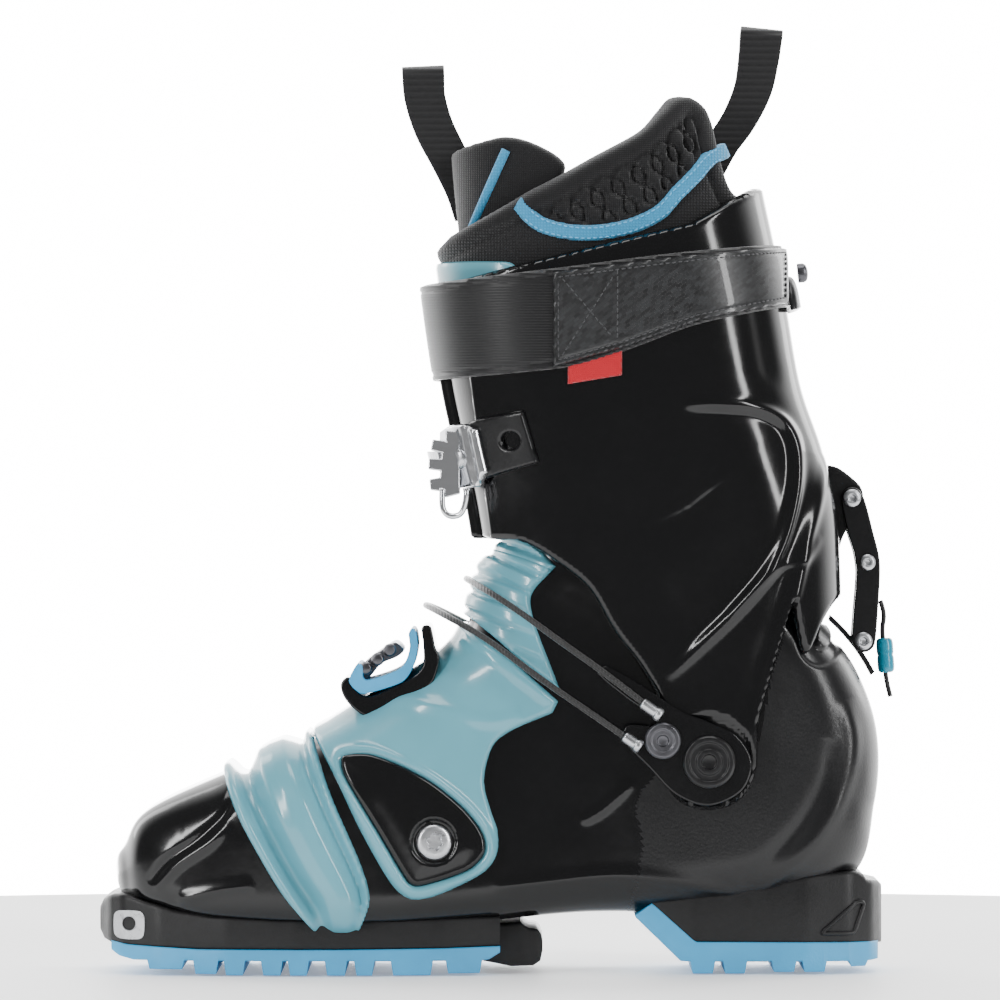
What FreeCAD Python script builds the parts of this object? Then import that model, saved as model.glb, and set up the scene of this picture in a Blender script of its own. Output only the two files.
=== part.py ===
"""Ski touring boot, right foot: a hinged cuff on a shell with a flexing forefoot.

Millimetres. +X points from toe to heel, +Z up, -Y is the medial (inner) side.
Outlines are drawn in side view for a shell of pattern_length and pattern_height and are
graded to sole_length and cuff_height, as a last is graded from size to size.
"""
import FreeCAD, Part
import math
import os

import Sketcher
from FreeCAD import Placement, Rotation, Vector

os.makedirs("parts", exist_ok=True)
doc = FreeCAD.newDocument("ski_boot")

# ---------------------------------------------------------------- driving dimensions
DIMENSIONS = {
    "pattern_length": 285.0,     # sole length that the outlines are drawn for
    "pattern_height": 283.0,     # cuff height that the outlines are drawn for
    "sole_length": 285.0,
    "cuff_height": 283.0,
    "origin_shift": 2.0,         # puts the origin under the middle of the boot
    "toe_half": 40.0,            # half widths of the foot shell and cuff, outside
    "forefoot_half": 50.0,
    "ball_half": 51.0,
    "ankle_half": 40.0,
    "cuff_low_half": 48.5,
    "cuff_top_half": 57.0,
    "shell_wall": 3.5,
    "cuff_wall": 4.0,
    "skin_gap": 0.2,             # between a cover and the shell that it lies on
    "cover_thickness": 3.2,
    "bellows_thickness": 4.6,
    "side_cover_thickness": 2.4,
    "liner_gap": 0.5,
    "liner_thickness": 7.0,
    "tongue_thickness": 2.2,
    "liner_tongue_thickness": 4.0,
    "lining_gap": 0.3,           # between the cuff and the tongue or strap that lies on it
    "strap_thickness": 2.2,
    "patch_thickness": 1.3,
    "spine_radius": 68.0,        # about the ankle: the shell's spine stays inside this
    "cuff_rear_radius": 71.6,    # and the cuff's rear wall outside this
    "throat_radius": 112.0,      # the throat ends here, in front of the ankle
    "cuff_front_radius": 113.2,
    "liner_split_radius": 67.0,
    "bolt_radius": 4.0,
    "bolt_clearance": 0.06,
    "cap_radius": 9.6,
    "cap_thickness": 2.2,
    "arm_thickness": 2.8,
    "arm_gap": 0.5,              # guide arm to cuff
    "pulley_radius": 6.7,
    "cable_radius": 1.1,
    "cable_clearance": 0.5,      # cable to the groove that it lies in
    "sole_half_toe": 31.0,
    "sole_half_ball": 47.0,
    "sole_half_waist": 39.0,
    "sole_half_heel": 34.0,
    "channel_half": 12.0,        # half width of the smooth middle of the sole
    "socket_radius": 2.7,        # toe sockets of the binding
    "socket_depth": 3.0,
    "heel_pin_radius": 3.0,
    "heel_pin_depth": 6.0,
    "heel_pin_half": 14.0,       # half of the distance between the heel pin sockets
    "flex_gap": 0.4,             # each side of the toe hinge line
    "loop_half": 6.5,            # half of a pull loop's depth, across the boot
    "webbing": 1.6,
    "lock_pin_radius": 2.0,
    "lock_plate": 2.4,
    "lock_inner_half": 4.6,      # inside half width between the two lock plates
    "cord_radius": 0.9,
    "bead_radius": 3.15,
}
sheet = doc.addObject("Spreadsheet::Sheet", "dims")
for row, (alias, value) in enumerate(DIMENSIONS.items(), 1):
    sheet.set(f"A{row}", alias)
    sheet.set(f"B{row}", str(value))
    sheet.setAlias(f"B{row}", alias)
doc.recompute()


def size(alias):
    """The value of one cell, for the few shapes that are worked out point by point."""
    return float(sheet.get(alias))


def gx(x):
    """Expression for a graded place along the boot."""
    return f"({x:.3f} + dims.origin_shift) * dims.sole_length / dims.pattern_length"


def gz(z):
    """Expression for a graded height."""
    return f"({z:.3f}) * dims.cuff_height / dims.pattern_height"


def place(x, y, z):
    """A graded point as a vector."""
    grade_x = size("sole_length") / size("pattern_length")
    grade_z = size("cuff_height") / size("pattern_height")
    return Vector((x + size("origin_shift")) * grade_x, y, z * grade_z)


ANKLE = (76.0, 78.0)             # ankle pivot, side view
TOE_HINGE = (-44.0, 12.0)        # flex line under the ball of the foot
LOCK_TOP = (129.5, 173.9)        # the lock arm's upper pin
LOCK_LOW = (133.9, 121.4)        # and the pin that meets the catch


# ---------------------------------------------------------------- building blocks
def bind(thing, **expressions):
    for prop, expression in expressions.items():
        thing.setExpression(prop.replace("__", "."), str(expression))


def origin_plane(body, role):
    return next(f for f in body.Origin.OriginFeatures if f.Role == role)


def closed_outline(sketch, points, to_expression):
    """Closed polygon of straight lines, every corner bound to graded expressions."""
    count = len(points)
    corners = [Vector(*p, 0) for p in points]
    for i in range(count):
        sketch.addGeometry(Part.LineSegment(corners[i], corners[(i + 1) % count]), False)
    for i in range(count):
        sketch.addConstraint(Sketcher.Constraint("Coincident", i, 2, (i + 1) % count, 1))
    for i, (u, v) in enumerate(points):
        for kind, value, expression in zip(("DistanceX", "DistanceY"), (u, v), to_expression(u, v)):
            index = sketch.addConstraint(Sketcher.Constraint(kind, -1, 1, i, 1, value))
            name = f"{kind[-1].lower()}{i}"
            sketch.renameConstraint(index, name)
            sketch.setExpression(f"Constraints.{name}", expression)


def side_pad(name, points, low="-90", high="90"):
    """Side-view outline (X, Z), padded across the boot from low to high (Y)."""
    body = doc.addObject("PartDesign::Body", name)
    sketch = body.newObject("Sketcher::SketchObject", f"{name}_outline")
    sketch.AttachmentSupport = [(origin_plane(body, "XZ_Plane"), "")]
    sketch.MapMode = "FlatFace"
    bind(sketch, AttachmentOffset__Base__z=f"-({high})")
    closed_outline(sketch, points, lambda x, z: (gx(x), gz(z)))
    pad = body.newObject("PartDesign::Pad", f"{name}_pad")
    pad.Profile = sketch
    bind(pad, Length=f"({high}) - ({low})")
    sketch.Visibility = False
    return body


def plan_pad(name, points, low, high):
    """Half plan outline (X, half width), mirrored in Y and padded from low to high (Z)."""
    body = doc.addObject("PartDesign::Body", name)
    sketch = body.newObject("Sketcher::SketchObject", f"{name}_plan")
    sketch.AttachmentSupport = [(origin_plane(body, "XY_Plane"), "")]
    sketch.MapMode = "FlatFace"
    bind(sketch, AttachmentOffset__Base__z=low)
    ring = [(x, -1, w) for x, w in points] + [(x, 1, w) for x, w in reversed(points)]
    corners = [(x, sign * size_of(w)) for x, sign, w in ring]
    widths = [f"{sign} * ({w})" for _, sign, w in ring]
    closed_outline(sketch, corners, lambda x, y: (gx(x), widths[corners.index((x, y))]))
    pad = body.newObject("PartDesign::Pad", f"{name}_pad")
    pad.Profile = sketch
    bind(pad, Length=f"({high}) - ({low})")
    return body


def size_of(expression):
    """Rough value of a short expression, for a sketch's first corner positions."""
    total = 0.0
    for term in expression.replace("-", "+-").split("+"):
        term = term.strip()
        if term:
            sign = -1.0 if term.startswith("-") else 1.0
            word = term.lstrip("- ")
            total += sign * (size(word[5:]) if word.startswith("dims.") else float(word))
    return total


def block(name, x0, x1, y0, y1, z0, z1):
    """Box between graded X and Z places; y0 and y1 are expressions."""
    box = doc.addObject("Part::Box", name)
    bind(box, Length=f"({gx(x1)}) - ({gx(x0)})", Width=f"({y1}) - ({y0})",
         Height=f"({gz(z1)}) - ({gz(z0)})",
         Placement__Base__x=gx(x0), Placement__Base__y=y0, Placement__Base__z=gz(z0))
    return box


def across(name, spot, radius, low, high):
    """Cylinder along Y at a side-view spot."""
    pin = doc.addObject("Part::Cylinder", name)
    pin.Placement = Placement(Vector(), Rotation(Vector(1, 0, 0), -90))
    bind(pin, Radius=radius, Height=f"({high}) - ({low})", Placement__Base__x=gx(spot[0]),
         Placement__Base__y=low, Placement__Base__z=gz(spot[1]))
    return pin


def slanted_box(name, spot, slope, u, v, y0, y1):
    """Box whose long side (u) climbs at slope degrees from a side-view spot; v is its normal."""
    box = doc.addObject("Part::Box", name)
    ux, uz = math.cos(math.radians(slope)), math.sin(math.radians(slope))
    box.Placement = Placement(Vector(), Rotation(Vector(0, 1, 0), -slope))
    bind(box, Length=u[1] - u[0], Width=f"({y1}) - ({y0})", Height=v[1] - v[0],
         Placement__Base__x=f"{gx(spot[0])} + {u[0] * ux - v[0] * uz:.4f}",
         Placement__Base__y=y0,
         Placement__Base__z=f"{gz(spot[1])} + {u[0] * uz + v[0] * ux:.4f}")
    return box


def boolean(kind, name, *parts):
    parts = list(parts)
    if kind in ("Cut", "Common") and len(parts) == 2:
        result = doc.addObject(f"Part::{kind}", name)
        result.Base, result.Tool = parts
    elif kind == "Cut":
        result = doc.addObject("Part::Cut", name)
        result.Base = parts[0]
        result.Tool = boolean("Fuse", f"{name}_tools", *parts[1:])
    else:
        result = doc.addObject("Part::MultiFuse" if kind == "Fuse" else "Part::MultiCommon", name)
        result.Shapes = parts
    return result


def cut(name, *parts):
    return boolean("Cut", name, *parts)


def common(name, *parts):
    return boolean("Common", name, *parts)


def fuse(name, *parts):
    return boolean("Fuse", name, *parts)


def group(name, *parts):
    """Separate solids that share one node, such as a pair of screws."""
    result = doc.addObject("Part::Compound", name)
    result.Links = list(parts)
    return result


# ---------------------------------------------------------------- lofted surfaces
# Each station: low or rear point, top or front point, half width, low and top corner radius.
FOOT = [
    ((-137.0, 27.0), (-138.5, 45.0), "dims.toe_half - 14", 7, 8),
    ((-129.5, 24.0), (-131.0, 58.5), "dims.toe_half - 2", 9, 15),
    ((-108.0, 19.5), (-106.0, 71.0), "dims.forefoot_half - 4", 9, 24),
    ((-78.0, 17.5), (-82.0, 80.0), "dims.forefoot_half", 9, 28),
    ((-46.0, 17.0), (-59.0, 91.0), "dims.ball_half", 10, 30),
    ((-8.0, 19.0), (-32.0, 107.0), "dims.ball_half - 5", 12, 30),
    ((30.0, 22.0), (-15.0, 121.0), "dims.ankle_half + 1", 16, 27),
    ((84.0, 23.0), (-9.0, 138.0), "dims.ankle_half", 22, 26),
    ((128.0, 34.0), (-6.5, 146.5), "dims.ankle_half", 25, 26),
    ((138.0, 62.0), (-4.5, 149.0), "dims.ankle_half", 27, 26),
    ((138.8, 88.0), (-3.0, 151.0), "dims.ankle_half + 0.5", 28, 26),
    ((131.0, 111.0), (-1.0, 152.5), "dims.ankle_half + 1", 28, 26),
    ((117.5, 130.0), (1.0, 154.0), "dims.ankle_half + 1", 28, 26),
]
FOOT_OPEN = ((106.0, 152.0), (5.0, 175.0), "dims.ankle_half + 1", 28, 26)
CUFF = [
    ((123.0, 54.0), (0.0, 54.0), "dims.cuff_low_half", 30, 30),
    ((125.5, 110.0), (-4.0, 110.0), "dims.cuff_low_half", 32, 32),
    ((124.5, 162.0), (-11.0, 162.0), "dims.cuff_low_half + 1.5", 34, 35),
    ((119.0, 190.0), (-16.5, 190.0), "dims.cuff_low_half + 3.5", 36, 37),
    ((110.5, 216.0), (-22.0, 216.0), "dims.cuff_top_half - 3", 38, 39),
    ((104.5, 250.0), (-27.0, 250.0), "dims.cuff_top_half - 1", 40, 41),
    ((96.0, 290.0), (-31.5, 290.0), "dims.cuff_top_half", 41, 42),
]
COLLAR_TOP = ((87.0, 330.0), (-34.0, 330.0), "dims.cuff_top_half - 1", 41, 42)
LOFTS = {}


def section(body, name, low, top, half, low_radius, top_radius, offset):
    """Rounded rectangle across the boot, standing on the line from low to top."""
    grade = [size("sole_length") / size("pattern_length"), size("cuff_height") / size("pattern_height")]
    span = math.hypot((top[0] - low[0]) * grade[0], (top[1] - low[1]) * grade[1])
    span_expression = (f"sqrt(pow({(top[0] - low[0]):.3f} * dims.sole_length / dims.pattern_length; 2)"
                       f" + pow({(top[1] - low[1]):.3f} * dims.cuff_height / dims.pattern_height; 2))")
    angle_expression = (f"90 deg - atan2({top[1] - low[1]:.3f} * dims.cuff_height / dims.pattern_height;"
                        f" {top[0] - low[0]:.3f} * dims.sole_length / dims.pattern_length)")
    sketch = body.newObject("Sketcher::SketchObject", name)
    sketch.AttachmentSupport = [(origin_plane(body, "YZ_Plane"), "")]
    sketch.MapMode = "FlatFace"
    sketch.AttachmentOffset = Placement(Vector(), Rotation(Vector(1, 0, 0), 10))
    bind(sketch, AttachmentOffset__Base__y=gz((low[1] + top[1]) / 2),
         AttachmentOffset__Base__z=gx((low[0] + top[0]) / 2),
         AttachmentOffset__Rotation__Angle=angle_expression)
    shift = size_of(offset)
    w, v = size_of(half) + shift, span / 2 + shift
    low_r, top_r = max(low_radius + shift, 2.0), max(top_radius + shift, 2.0)
    geometry = []
    corners = ((1, -1, low_r), (1, 1, top_r), (-1, 1, top_r), (-1, -1, low_r))
    for i, (side, up, radius) in enumerate(corners):
        centre = Vector(side * (w - radius), up * (v - radius), 0)
        circle = Part.Circle(centre, Vector(0, 0, 1), radius)
        start = math.radians(-90 + 90 * i)
        geometry.append(Part.ArcOfCircle(circle, start, start + math.pi / 2))
        s_next, u_next, r_next = corners[(i + 1) % 4]
        geometry.append(Part.LineSegment(geometry[-1].EndPoint, {
            0: Vector(w, v - r_next, 0), 1: Vector(-w + r_next, v, 0),
            2: Vector(-w, -v + r_next, 0), 3: Vector(w - r_next, -v, 0)}[i]))
    sketch.addGeometry(geometry, False)
    for i in range(8):
        sketch.addConstraint(Sketcher.Constraint("Tangent", i, 2, (i + 1) % 8, 1))
    for line, kind in ((1, "Vertical"), (3, "Horizontal"), (5, "Vertical"), (7, "Horizontal")):
        sketch.addConstraint(Sketcher.Constraint(kind, line))
    sketch.addConstraint(Sketcher.Constraint("Equal", 0, 6))
    sketch.addConstraint(Sketcher.Constraint("Equal", 2, 4))
    sizes = {
        "low_corner": (("Radius", 0, low_r), f"max({low_radius} + ({offset}); 2)"),
        "top_corner": (("Radius", 2, top_r), f"max({top_radius} + ({offset}); 2)"),
        "right": (("DistanceX", -1, 1, 1, 1, w), f"{half} + ({offset})"),
        "left": (("DistanceX", -1, 1, 5, 1, -w), f"-({half}) - ({offset})"),
        "high": (("DistanceY", -1, 1, 3, 1, v), f"{span_expression} / 2 + ({offset})"),
        "deep": (("DistanceY", -1, 1, 7, 1, -v), f"-{span_expression} / 2 - ({offset})"),
    }
    for label, (constraint, expression) in sizes.items():
        index = sketch.addConstraint(Sketcher.Constraint(*constraint))
        sketch.renameConstraint(index, label)
        sketch.setExpression(f"Constraints.{label}", expression)
    return sketch


def loft(family, offset, stations):
    """Lofted solid of a family of stations, moved out by an offset; each is made once."""
    key = (family, offset)
    if key not in LOFTS:
        name = f"{family}_loft_{len(LOFTS)}"
        body = doc.addObject("PartDesign::Body", name)
        sketches = [section(body, f"{name}_s{i}", *station, offset) for i, station in enumerate(stations)]
        feature = body.newObject("PartDesign::AdditiveLoft", f"{name}_skin")
        feature.Profile = sketches[0]
        feature.Sections = sketches[1:]
        LOFTS[key] = body
    return LOFTS[key]


def foot(offset="0"):
    """Foot shell surface, moved out; an inward one starts behind the toe and opens at the top."""
    shift = size_of(offset)
    if shift < -8:
        return loft("foot", offset, FOOT[2:] + [FOOT_OPEN])
    if shift < 0:
        return loft("foot", offset, FOOT[1:] + [FOOT_OPEN])
    return loft("foot", offset, FOOT)


def cuff(offset="0"):
    return loft("cuff", offset, CUFF)


def collar(offset):
    """The liner's leg: the cuff's surface carried on above its rim."""
    return loft("collar", offset, CUFF[1:] + [COLLAR_TOP])


# ---------------------------------------------------------------- zones
# The toe half turns up about the flex line, so a wedge above it is left to the bellows.
front_gap = TOE_HINGE[0] - size("flex_gap")
toe_zone = side_pad("toe_zone", [(front_gap, -5), (front_gap, TOE_HINGE[1]), (-140.0, 115.0),
                                 (-200.0, 115.0), (-200.0, -5)])
rear_gap = TOE_HINGE[0] + size("flex_gap")
heel_zone = side_pad("heel_zone", [(rear_gap, -5), (200.0, -5), (200.0, 360.0), (-154.5, 360.0),
                                   (-154.5, 359.0), (rear_gap, TOE_HINGE[1])])


def ankle_drum(name, radius, half="90"):
    return across(name, ANKLE, radius, f"-({half})", half)


def rear_sweep(name, low=-60.0):
    """Everything behind and above the ankle, where the cuff sweeps past the spine."""
    return side_pad(name, [(ANKLE[0], ANKLE[1] + low), (220.0, ANKLE[1] + low), (220.0, 240.0),
                           (ANKLE[0] - 30.0, 240.0), (ANKLE[0] - 30.0, 130.0), (ANKLE[0], 130.0)])


# ---------------------------------------------------------------- rear shell
NODES = {}


def keep(part, name=None):
    """Registers a finished sub-part; its Label names its file."""
    part.Label = name or part.Name
    NODES[part.Label] = part
    return part


wall = "-dims.shell_wall"
shell = cut("foot_walls", foot(), foot(wall))
spine_sweep = rear_sweep("spine_sweep", 4.0)
outside_spine = cut("outside_spine", spine_sweep, ankle_drum("spine_drum", "dims.spine_radius"))
bolt_hole = across("bolt_hole", ANKLE, "dims.bolt_radius", "-70", "70")
lower_shell = keep(cut("lower_shell", common("rear_walls", shell, heel_zone), outside_spine, bolt_hole))
toe_shell = keep(common("toe_shell", shell, toe_zone))

# ---------------------------------------------------------------- covers on the foot shell
COVER_OUTLINE = [
    (-67.7, 89.0), (-54.8, 108.0), (-20.0, 130.0), (-11.2, 129.0), (21.3, 99.8), (19.2, 95.5),
    (4.0, 88.9), (-2.6, 83.5), (-5.9, 71.5), (-3.7, 60.7), (-0.9, 52.0), (-1.5, 43.3), (-7.0, 36.8),
    (-23.3, 29.2), (-32.9, 28.1), (-39.6, 33.6), (-50.3, 52.0), (-66.9, 85.8)]
THROAT_OUTLINE = [(-20.0, 131.0), (-22.0, 175.0), (-3.7, 175.0), (20.4, 149.1), (11.1, 136.2),
                  (22.0, 103.5), (-10.6, 130.0)]
SIDE_OUTLINE = [
    (-56.8, 78.1), (-46.0, 79.2), (-28.6, 72.6), (-14.5, 61.8), (-6.9, 52.0), (-6.2, 44.4),
    (-12.3, 37.9), (-27.0, 33.2), (-34.0, 34.6), (-44.9, 52.0), (-56.8, 72.6)]
BELLOWS_OUTLINE = [
    (-106.0, 100.0), (-101.4, 73.0), (-91.6, 50.0), (-78.4, 28.1), (-65.5, 15.2), (-59.0, 13.2),
    (-50.3, 18.5), (-47.2, 28.1), (-50.8, 41.1), (-61.8, 66.2), (-68.6, 86.0), (-70.0, 100.0)]
SCREW_SPOT = (-24.8, 48.8)

gap = "dims.skin_gap"
cover_out = "dims.skin_gap + dims.cover_thickness"
cover_skin = cut("cover_skin", foot(cover_out), foot(gap))
instep_cover = keep(common("instep_cover", cover_skin, side_pad("cover_outline", COVER_OUTLINE)))
throat_drum = ankle_drum("throat_drum", "dims.throat_radius")
throat_walls = common("throat_walls", cover_skin, throat_drum)
throat_band = common("throat_band", throat_walls, side_pad("throat_outline", THROAT_OUTLINE))
bellows_skin = cut("bellows_skin", foot("dims.skin_gap + dims.bellows_thickness"), foot(gap))
flex_bellows = bellows_band = common("bellows_band", bellows_skin, side_pad("bellows_outline", BELLOWS_OUTLINE))

side_in = "dims.skin_gap + dims.cover_thickness + dims.skin_gap"
side_out = "dims.skin_gap + dims.cover_thickness + dims.skin_gap + dims.side_cover_thickness"
side_skin = cut("side_skin", foot(side_out), foot(side_in))
screw_skin = cut("screw_skin", foot(side_out + " + 0.8"), foot(side_in))
screw_seat = across("screw_seat", SCREW_SPOT, "7.2", "-90", "90")
screw_core = across("screw_core", SCREW_SPOT, "6.7", "-90", "90")
side_pair = cut("side_pair", side_skin, screw_seat)
keep(common("side_cover_medial", side_pair, side_pad("side_outline_medial", SIDE_OUTLINE, "-90", "0")))
keep(common("side_cover_lateral", side_pair, side_pad("side_outline_lateral", SIDE_OUTLINE, "0", "90")))
keep(common("side_cover_screws", screw_skin, screw_core))

# ---------------------------------------------------------------- sole
SOLE_PLAN = [(-145.4, "dims.sole_half_toe - 11"), (-143.0, "dims.sole_half_toe - 3"),
             (-138.0, "dims.sole_half_toe + 2"), (-125.0, "dims.sole_half_toe + 9"),
             (-100.0, "dims.sole_half_ball - 2"), (-75.0, "dims.sole_half_ball"),
             (-46.0, "dims.sole_half_ball"), (-20.0, "dims.sole_half_waist + 4"),
             (0.0, "dims.sole_half_waist")]
HEEL_PLAN = [(52.0, "dims.sole_half_heel - 1"), (70.0, "dims.sole_half_heel"),
             (112.0, "dims.sole_half_heel + 0.5"), (128.0, "dims.sole_half_heel - 3"),
             (136.0, "dims.sole_half_heel - 9"), (139.5, "dims.sole_half_heel - 18")]
FRAME_SIDE = [(-145.4, 8.6), (-145.4, 24.5), (-143.0, 26.5), (-137.3, 29.2), (-130.6, 26.6),
              (-104.7, 22.0), (-78.4, 20.5), (0.0, 21.5), (0.0, 8.6)]
FRONT_LUGS = [(-128.0, -116.0), (-111.0, -103.5), (-99.8, -93.7), (-86.2, -80.0), (-76.4, -70.4),
              (-62.9, -56.5), (-52.2, -46.6), (-38.9, -25.3), (-18.9, -7.4)]
LUG_STEPS = [2.0, 0.4, 0, 0, 0, 0, 0, 0, 0.6]   # the toe and the arch curl off the ground

front_plan = plan_pad("front_plan", SOLE_PLAN, "0", "40")
frame_pad = common("frame_pad", front_plan, side_pad("frame_side", FRAME_SIDE))
sole_frame = cut("sole_frame", frame_pad, foot("dims.skin_gap"))
keep(cut("flex_bellows", bellows_band, frame_pad))
toe_fitting_slot = block("toe_fitting_slot", -141.4, -130.1, "-90", "90", 12.8, 22.8)
keep(common("toe_sole_frame", cut("slotted_frame", sole_frame, toe_fitting_slot), toe_zone))
keep(common("ball_sole_frame", sole_frame, heel_zone))

lugs = [block(f"lug_{i}", x0, x1, "-60", "60", step, 8.4)
        for i, ((x0, x1), step) in enumerate(zip(FRONT_LUGS, LUG_STEPS))]
tread = cut("tread", fuse("lug_bars", *lugs), block("tread_channel", -150.0, 10.0, "-dims.channel_half",
                                                   "dims.channel_half", -5.0, 5.2))
OUTSOLE_SIDE = [(-141.5, 8.5), (-141.5, 7.4), (-134.0, 5.2), (0.0, 5.2), (0.0, 8.5)]
slab = side_pad("outsole_slab", OUTSOLE_SIDE)
outsole = common("outsole", fuse("outsole_blank", slab, tread), front_plan)
keep(common("toe_outsole", outsole, toe_zone))
keep(common("ball_outsole", outsole, heel_zone))

HEEL_SOLE_SIDE = [(53.3, 24.2), (70.5, 9.4), (138.5, 9.4), (138.5, 4.7), (121.0, 4.7), (118.7, 0.6),
                  (100.2, 0.6), (100.2, 4.2), (89.5, 4.2), (89.5, 0.0), (70.5, 0.0), (66.0, 4.4),
                  (49.5, 20.6)]
HEEL_BLOCK_SIDE = [(53.8, 24.5), (70.7, 9.7), (139.5, 9.7), (139.5, 33.7), (131.0, 36.0),
                   (100.0, 32.0), (62.0, 30.0)]
heel_plan = plan_pad("heel_plan", HEEL_PLAN, "0", "45")
heel_pad = common("heel_pad", heel_plan, side_pad("heel_sole_side", HEEL_SOLE_SIDE))
heel_channel = block("heel_channel", 60.0, 120.0, "-dims.channel_half + 4", "dims.channel_half - 4", -5.0, 4.0)
keep(cut("heel_outsole", heel_pad, heel_channel, foot("dims.skin_gap")))
heel_body = common("heel_body", heel_plan, side_pad("heel_block_side", HEEL_BLOCK_SIDE))
fitting_box = block("fitting_box", 131.0, 139.5, "-dims.heel_pin_half - 7", "dims.heel_pin_half + 7",
                    13.0, 27.0)
keep(cut("heel_block", heel_body, foot("dims.skin_gap"), fitting_box))

# Steel fittings: sockets for the binding's toe and heel pins.
HEEL_PIN_Z = 20.0
TOE_SOCKET = (-135.5, 18.4)
SOCKET_DIP = 2.5                 # degrees that each toe socket climbs outwards
pin_holes = []
for side in (-1, 1):
    hole = doc.addObject("Part::Cylinder", f"heel_pin_hole_{'lr'[side > 0]}")
    hole.Placement = Placement(Vector(), Rotation(Vector(0, 1, 0), 90))
    bind(hole, Radius="dims.heel_pin_radius", Height="dims.heel_pin_depth + 2",
         Placement__Base__x=f"{gx(139.5)} - dims.heel_pin_depth",
         Placement__Base__y=f"{side} * dims.heel_pin_half", Placement__Base__z=gz(HEEL_PIN_Z))
    pin_holes.append(hole)
heel_fitting = block("heel_fitting_blank", 131.05, 139.4, "-dims.heel_pin_half - 6.9",
                     "dims.heel_pin_half + 6.9", 13.05, 26.95)
heel_fitting = common("heel_fitting_rounded", heel_fitting, heel_plan)
keep(cut("heel_tech_fitting", cut("heel_fitting_clear", heel_fitting, foot("dims.skin_gap")), *pin_holes))

cheek = "dims.sole_half_toe + 3"       # the fitting's flat cheeks, where the binding's pins enter
toe_bar_blank = block("toe_bar_blank", -141.3, -130.2, f"-({cheek})", cheek, 12.9, 22.7)
toe_bar = common("toe_bar", toe_bar_blank, front_plan)
toe_bar = cut("toe_bar_clear", toe_bar, foot("dims.skin_gap"))
sockets = []
for side in (-1, 1):
    socket = doc.addObject("Part::Cylinder", f"toe_socket_{'ml'[side > 0]}")
    dip = Vector(0, -side, -math.tan(math.radians(SOCKET_DIP)))
    socket.Placement = Placement(Vector(), Rotation(Vector(0, 0, 1), -dip))
    reach = f"{cheek} - dims.socket_depth"
    bind(socket, Radius="dims.socket_radius", Height="dims.socket_depth + 3",
         Placement__Base__x=gx(TOE_SOCKET[0]), Placement__Base__y=f"{side} * ({reach})",
         Placement__Base__z=gz(TOE_SOCKET[1]))
    sockets.append(socket)
keep(cut("toe_tech_fitting", toe_bar, *sockets))

HOOK_SIDE = [(1.0, 17.2), (8.3, 18.0), (9.5, 15.6), (14.2, 15.2), (14.2, 4.0), (12.2, 2.2), (1.0, 2.2)]
hook_blank = side_pad("hook_blank", HOOK_SIDE, "-dims.sole_half_waist + 9", "dims.sole_half_waist - 9")
keep(cut("second_heel", hook_blank, foot("dims.skin_gap")))

# ---------------------------------------------------------------- inside the shell
inner_wall = "-dims.shell_wall - dims.liner_gap"
inner = foot(inner_wall)
BOARD_SIDE = [(-38.0, 10.0), (-38.0, 25.5), (20.0, 27.5), (80.0, 28.5), (128.0, 46.0), (128.0, 10.0)]
board_blank = common("board_blank", inner, side_pad("board_side", BOARD_SIDE))
keep(board_blank, "boot_board")
ABOVE_BOARD = [(-150.0, 26.0), (20.0, 28.0), (80.0, 29.0), (150.0, 54.0), (150.0, 200.0), (-150.0, 200.0)]
liner_blank = cut("liner_blank", inner, foot(inner_wall + " - dims.liner_thickness"))
liner_blank = common("liner_on_board", liner_blank, side_pad("above_board", ABOVE_BOARD))
INSTEP_LINE = [(ANKLE[0], ANKLE[1]), (-96.0, 151.0), (-150.0, 151.0), (-150.0, 0.0), (ANKLE[0], 0.0)]
liner_keep = fuse("liner_keep", side_pad("instep_line", INSTEP_LINE),
                  ankle_drum("liner_drum", "dims.liner_split_radius"))
liner_blank = common("liner_low", liner_blank, liner_keep)
keep(common("liner_foot", liner_blank, heel_zone))
keep(common("liner_toe", liner_blank, toe_zone))

# ---------------------------------------------------------------- ankle pivots and cable guide
cap_in = "dims.cuff_low_half + dims.arm_gap + dims.arm_thickness + 0.2"
bolts = []
for side in (-1, 1):
    low, high = "dims.ankle_half - dims.shell_wall", cap_in
    if side < 0:
        low, high = f"-({high})", f"-({low})"
    bolts.append(across(f"pivot_bolt_{'ml'[side > 0]}", ANKLE, "dims.bolt_radius", low, high))
keep(group("ankle_pivot_bolts", *bolts))
keep(across("pivot_cap_medial", ANKLE, "dims.cap_radius", f"-({cap_in}) - dims.cap_thickness", f"-({cap_in})"))
keep(across("pivot_cap_lateral", ANKLE, "dims.cap_radius", cap_in, f"{cap_in} + dims.cap_thickness"))

arm_in = "dims.cuff_low_half + dims.arm_gap"
arm_out = "dims.cuff_low_half + dims.arm_gap + dims.arm_thickness"
PULLEY = (59.2, 85.7)
ARM_OUTLINE = [(35.0, 111.0), (38.4, 113.5), (66.0, 96.5), (76.0, 91.0), (86.0, 86.0), (90.0, 76.0),
               (85.0, 67.0), (74.0, 63.5), (62.0, 68.0), (50.0, 80.0), (44.0, 87.0), (47.0, 91.5),
               (56.0, 90.0), (46.0, 99.5)]
arm_blank = side_pad("arm_blank", ARM_OUTLINE, f"-({arm_out})", f"-({arm_in})")
keep(cut("cable_guide_arm_medial", arm_blank, bolt_hole))
keep(across("cable_pulley_medial", PULLEY, "dims.pulley_radius", f"-({arm_out}) - 2.4", f"-({arm_out}) - 0.1"))


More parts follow.
